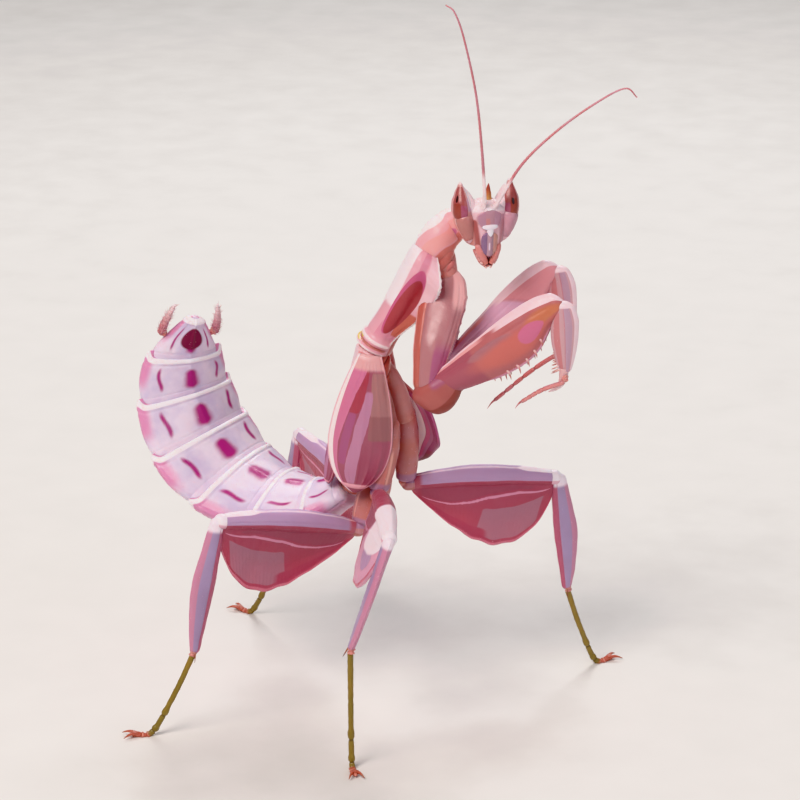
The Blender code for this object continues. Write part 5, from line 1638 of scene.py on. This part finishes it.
def build_walking_leg(name):
    root, hip, knee, ankle, toe = chain(WAIST + WALK_ROOTS[name], WALK_LINKS[name])
    outward = np.array((0.0, SIDES[name.split("_")[1]], 0.0))
    upper, thigh, shin = (unit(b - a) for a, b in ((root, hip), (hip, knee), (knee, ankle)))
    top = heading(*FEMUR_TILT.get(name, (0, 90)))
    far = float(outward[1] > 0)

    node = f"{name}_coxa"
    skin = limb(root, hip, outward, WALK_COXA, 96, 80, (0.6, 0.4), (0, 0.2))
    t, rise = skin.along, lift(skin)
    relief = 0.05 * ridge(rise, 1.0, 0.1) - 0.05 * ridge(rise, 0.1, 0.06) * band(t, 0.06, 0.95, 0.05)
    skin = plated(
        f"{node}_plate", skin, relief + 0.03 * ripple(skin.points, 1.4, 141), "leg_base", node,
        # painted shade on the near legs' inner face; on the far legs that face gets pale instead, painted
        # light that lifts the shade
        dusk=(1 - far) * (1 - ease(rise, -0.4, 0.0)),
        mauve=ease(t, 0.8, 0.93),
        pale=0.8 * ridge(rise, 0.8, 0.16) * ease(t, 0.3, 0.5) + 0.2 * far * (1 - ease(rise, -0.4, 0.0)),
        rim=0.6 * ridge(rise, 0.1, 0.05),
    )
    grow_bristles(skin, 1.0, 50, 0.14, node, 142, radius=0.012)
    start = root - 0.8 * outward + np.array(HIP_ROOTS[name])
    route = (start, (start + root) / 2 + 0.3 * outward, root + 1.6 * upper)
    skin = tube(route, WORLD_UP, (0.3, 0.6, 0.85, 0.98), 60, 60, (0.2, 0.5))
    plated(
        f"{node}_root_skin", skin, 0.02 * ripple(skin.points, 1.2, 147), "leg_base", node, False,
        # painted shade on the near legs' root skin, painted light on the far legs'
        dusk=0.5 * (1 - far),
        pale=0.4 * far,
    )

    node = f"{name}_trochanter"
    skin = limb(hip, hip + 0.95 * thigh, WORLD_UP, WALK_TROCHANTER, 60, 64, (0.5, 0.5), (-0.45, 0))
    plated(
        f"{node}_plate",
        skin,
        0.02 * ripple(skin.points, 0.9, 143) - 0.04 * ridge(skin.along, 0.66, 0.04),
        "leg_base",
        node,
        mauve=ease(lift(skin), 0.0, 0.5),
        # painted shade underneath the trochanter
        dusk=1 - ease(lift(skin), -0.7, -0.2),
    )
    route = (hip - 0.9 * upper, hip - 0.05 * upper, hip + 1.0 * thigh)
    skin = tube(route, np.cross(thigh, upper), (0.55, 0.55, 0.5), 60, 48, (0.2, 0.2))
    skin = emboss(skin, 0.02 * np.sin(2 * np.pi * 6 * skin.along))
    show(f"{node}_skin", skin, "membrane", node, False)

    build_petal(name, f"{name}_femur", hip, knee, top)

    node = f"{name}_tibia"
    skin = limb(knee - 1.1 * thigh, knee + 0.42 * thigh, top, WALK_KNEE, 60, 72, (0.6, 0.5))
    rise = lift(skin)
    plated(
        f"{name}_knee", skin, 0.02 * ripple(skin.points, 0.8, 144), "knee_cap", f"{name}_femur", False,
        pink=1 - ease(rise, -0.4, 0.1),
    )
    route = (knee - 0.9 * thigh, knee - 0.1 * thigh, knee + 0.7 * shin)
    skin = tube(route, np.cross(thigh, shin), (0.4, 0.46, 0.4), 60, 44, (0.2, 0.2))
    show(f"{name}_knee_skin", emboss(skin, 0.02 * np.sin(40 * skin.along)), "membrane", node, False)

    skin = limb(knee, ankle, thigh, WALK_TIBIA, 140, 84, (0.4, 0.3), (-0.35, 0.0))
    t, rise = skin.along, lift(skin)
    relief = 0.06 * ridge(rise, np.pi / 2, 0.12) - 0.06 * ridge(rise, -0.3, 0.06) * band(t, 0.06, 0.95, 0.05)
    relief = relief + 0.04 * ridge(rise, -1.2, 0.12) + 0.02 * ripple(skin.points, 1.8, 145)
    skin = plated(
        f"{node}_blade", skin, relief, "walking_tibia", node,
        rose=(1 - ease(rise, -0.36, -0.28)) * ease(t, 0.05, 0.12),
        pink=ease(rise, 0.62, 0.74),
        white=1 - ease(t, 0.05, 0.14),
        rim=0.8 * ridge(rise, -0.3, 0.06) + 0.6 * ease(t, 0.95, 0.99),
    )
    hairs = ridge(np.abs(rise), np.pi / 2, 0.2) + 0.02
    grow_bristles(skin, hairs, 110, 0.12, node, 146, radius=0.01, lean=0.9)
    side = unit(np.cross(shin, thigh))
    spurs = [
        thorn(
            ankle - 0.35 * shin + turn * 0.16 * side, ankle + 0.7 * shin + turn * 0.4 * side, 0.08,
            (0, 0, 0), 20, 14
        )
        for turn in (1, -1)
    ]
    show(f"{node}_spurs", spurs, "claw", node, False)
    cuff(
        f"{name}_ankle_skin", ankle - 0.5 * shin, ankle + 0.45 * unit(toe - ankle), side,
        (0.26, 0.27, 0.24), node, 3
    )
    build_foot(name, ankle, toe)


# ---------------------------------------------------------------- floor, camera and light


def build_stage():
    mesh = bpy.data.meshes.new("studio_floor")
    rim = [(FLOOR_RADIUS * np.cos(a), FLOOR_RADIUS * np.sin(a), FLOOR_LEVEL) for a in turns(128)]
    mesh.from_pydata(rim, [], [list(range(len(rim)))])
    mesh.materials.append(FINISHES["plaster"])
    floor = bpy.data.objects.new("studio_floor", mesh)
    bpy.context.collection.objects.link(floor)


def aim(name, data, place, target):
    thing = bpy.data.objects.new(name, data)
    bpy.context.collection.objects.link(thing)
    thing.location = Vector(place)
    thing.rotation_euler = (Vector(target) - Vector(place)).to_track_quat("-Z", "Y").to_euler()
    return thing


def build_camera():
    data = bpy.data.cameras.new("camera")
    data.lens = LENS
    data.sensor_width = SENSOR_WIDTH
    data.clip_start = NEAREST
    target = np.array(CAMERA_TARGET) * MM
    place = target + CAMERA_DISTANCE * MM * heading(*CAMERA_SIDE)
    bpy.context.scene.camera = aim("camera", data, place, target)


def build_lights():
    middle = np.array(CAMERA_TARGET) * MM
    for name, (azimuth, climb, distance, size, watts, code) in LIGHTS.items():
        data = bpy.data.lights.new(name, "AREA")
        data.shape = "DISK"
        data.size = size * MM
        data.energy = watts
        data.color = linear(code)[:3]
        aim(name, data, middle + distance * MM * heading(azimuth, climb), middle)
    world = bpy.data.worlds.new("studio_air")
    world.use_nodes = True
    air = world.node_tree.nodes["Background"]
    set_inputs(world.node_tree, air, {"Color": linear(AIR_COLOUR), "Strength": AIR_STRENGTH})
    bpy.context.scene.world = world
    bpy.context.scene.view_settings.view_transform = "Khronos PBR Neutral"


# ---------------------------------------------------------------- the model

make_finishes()
back, front, saddle = build_pronotum()
build_hind_thorax()
build_wing_pads()
build_abdomen()
build_neck(back, front, saddle)
build_skull()
build_mouth()
build_eyes()
build_horn()
build_antennae()
for side in SIDES:
    build_fore_leg(side)
for name in WALK_ROOTS:
    build_walking_leg(name)
build_stage()
build_lights()
build_camera()

bpy.context.view_layer.update()
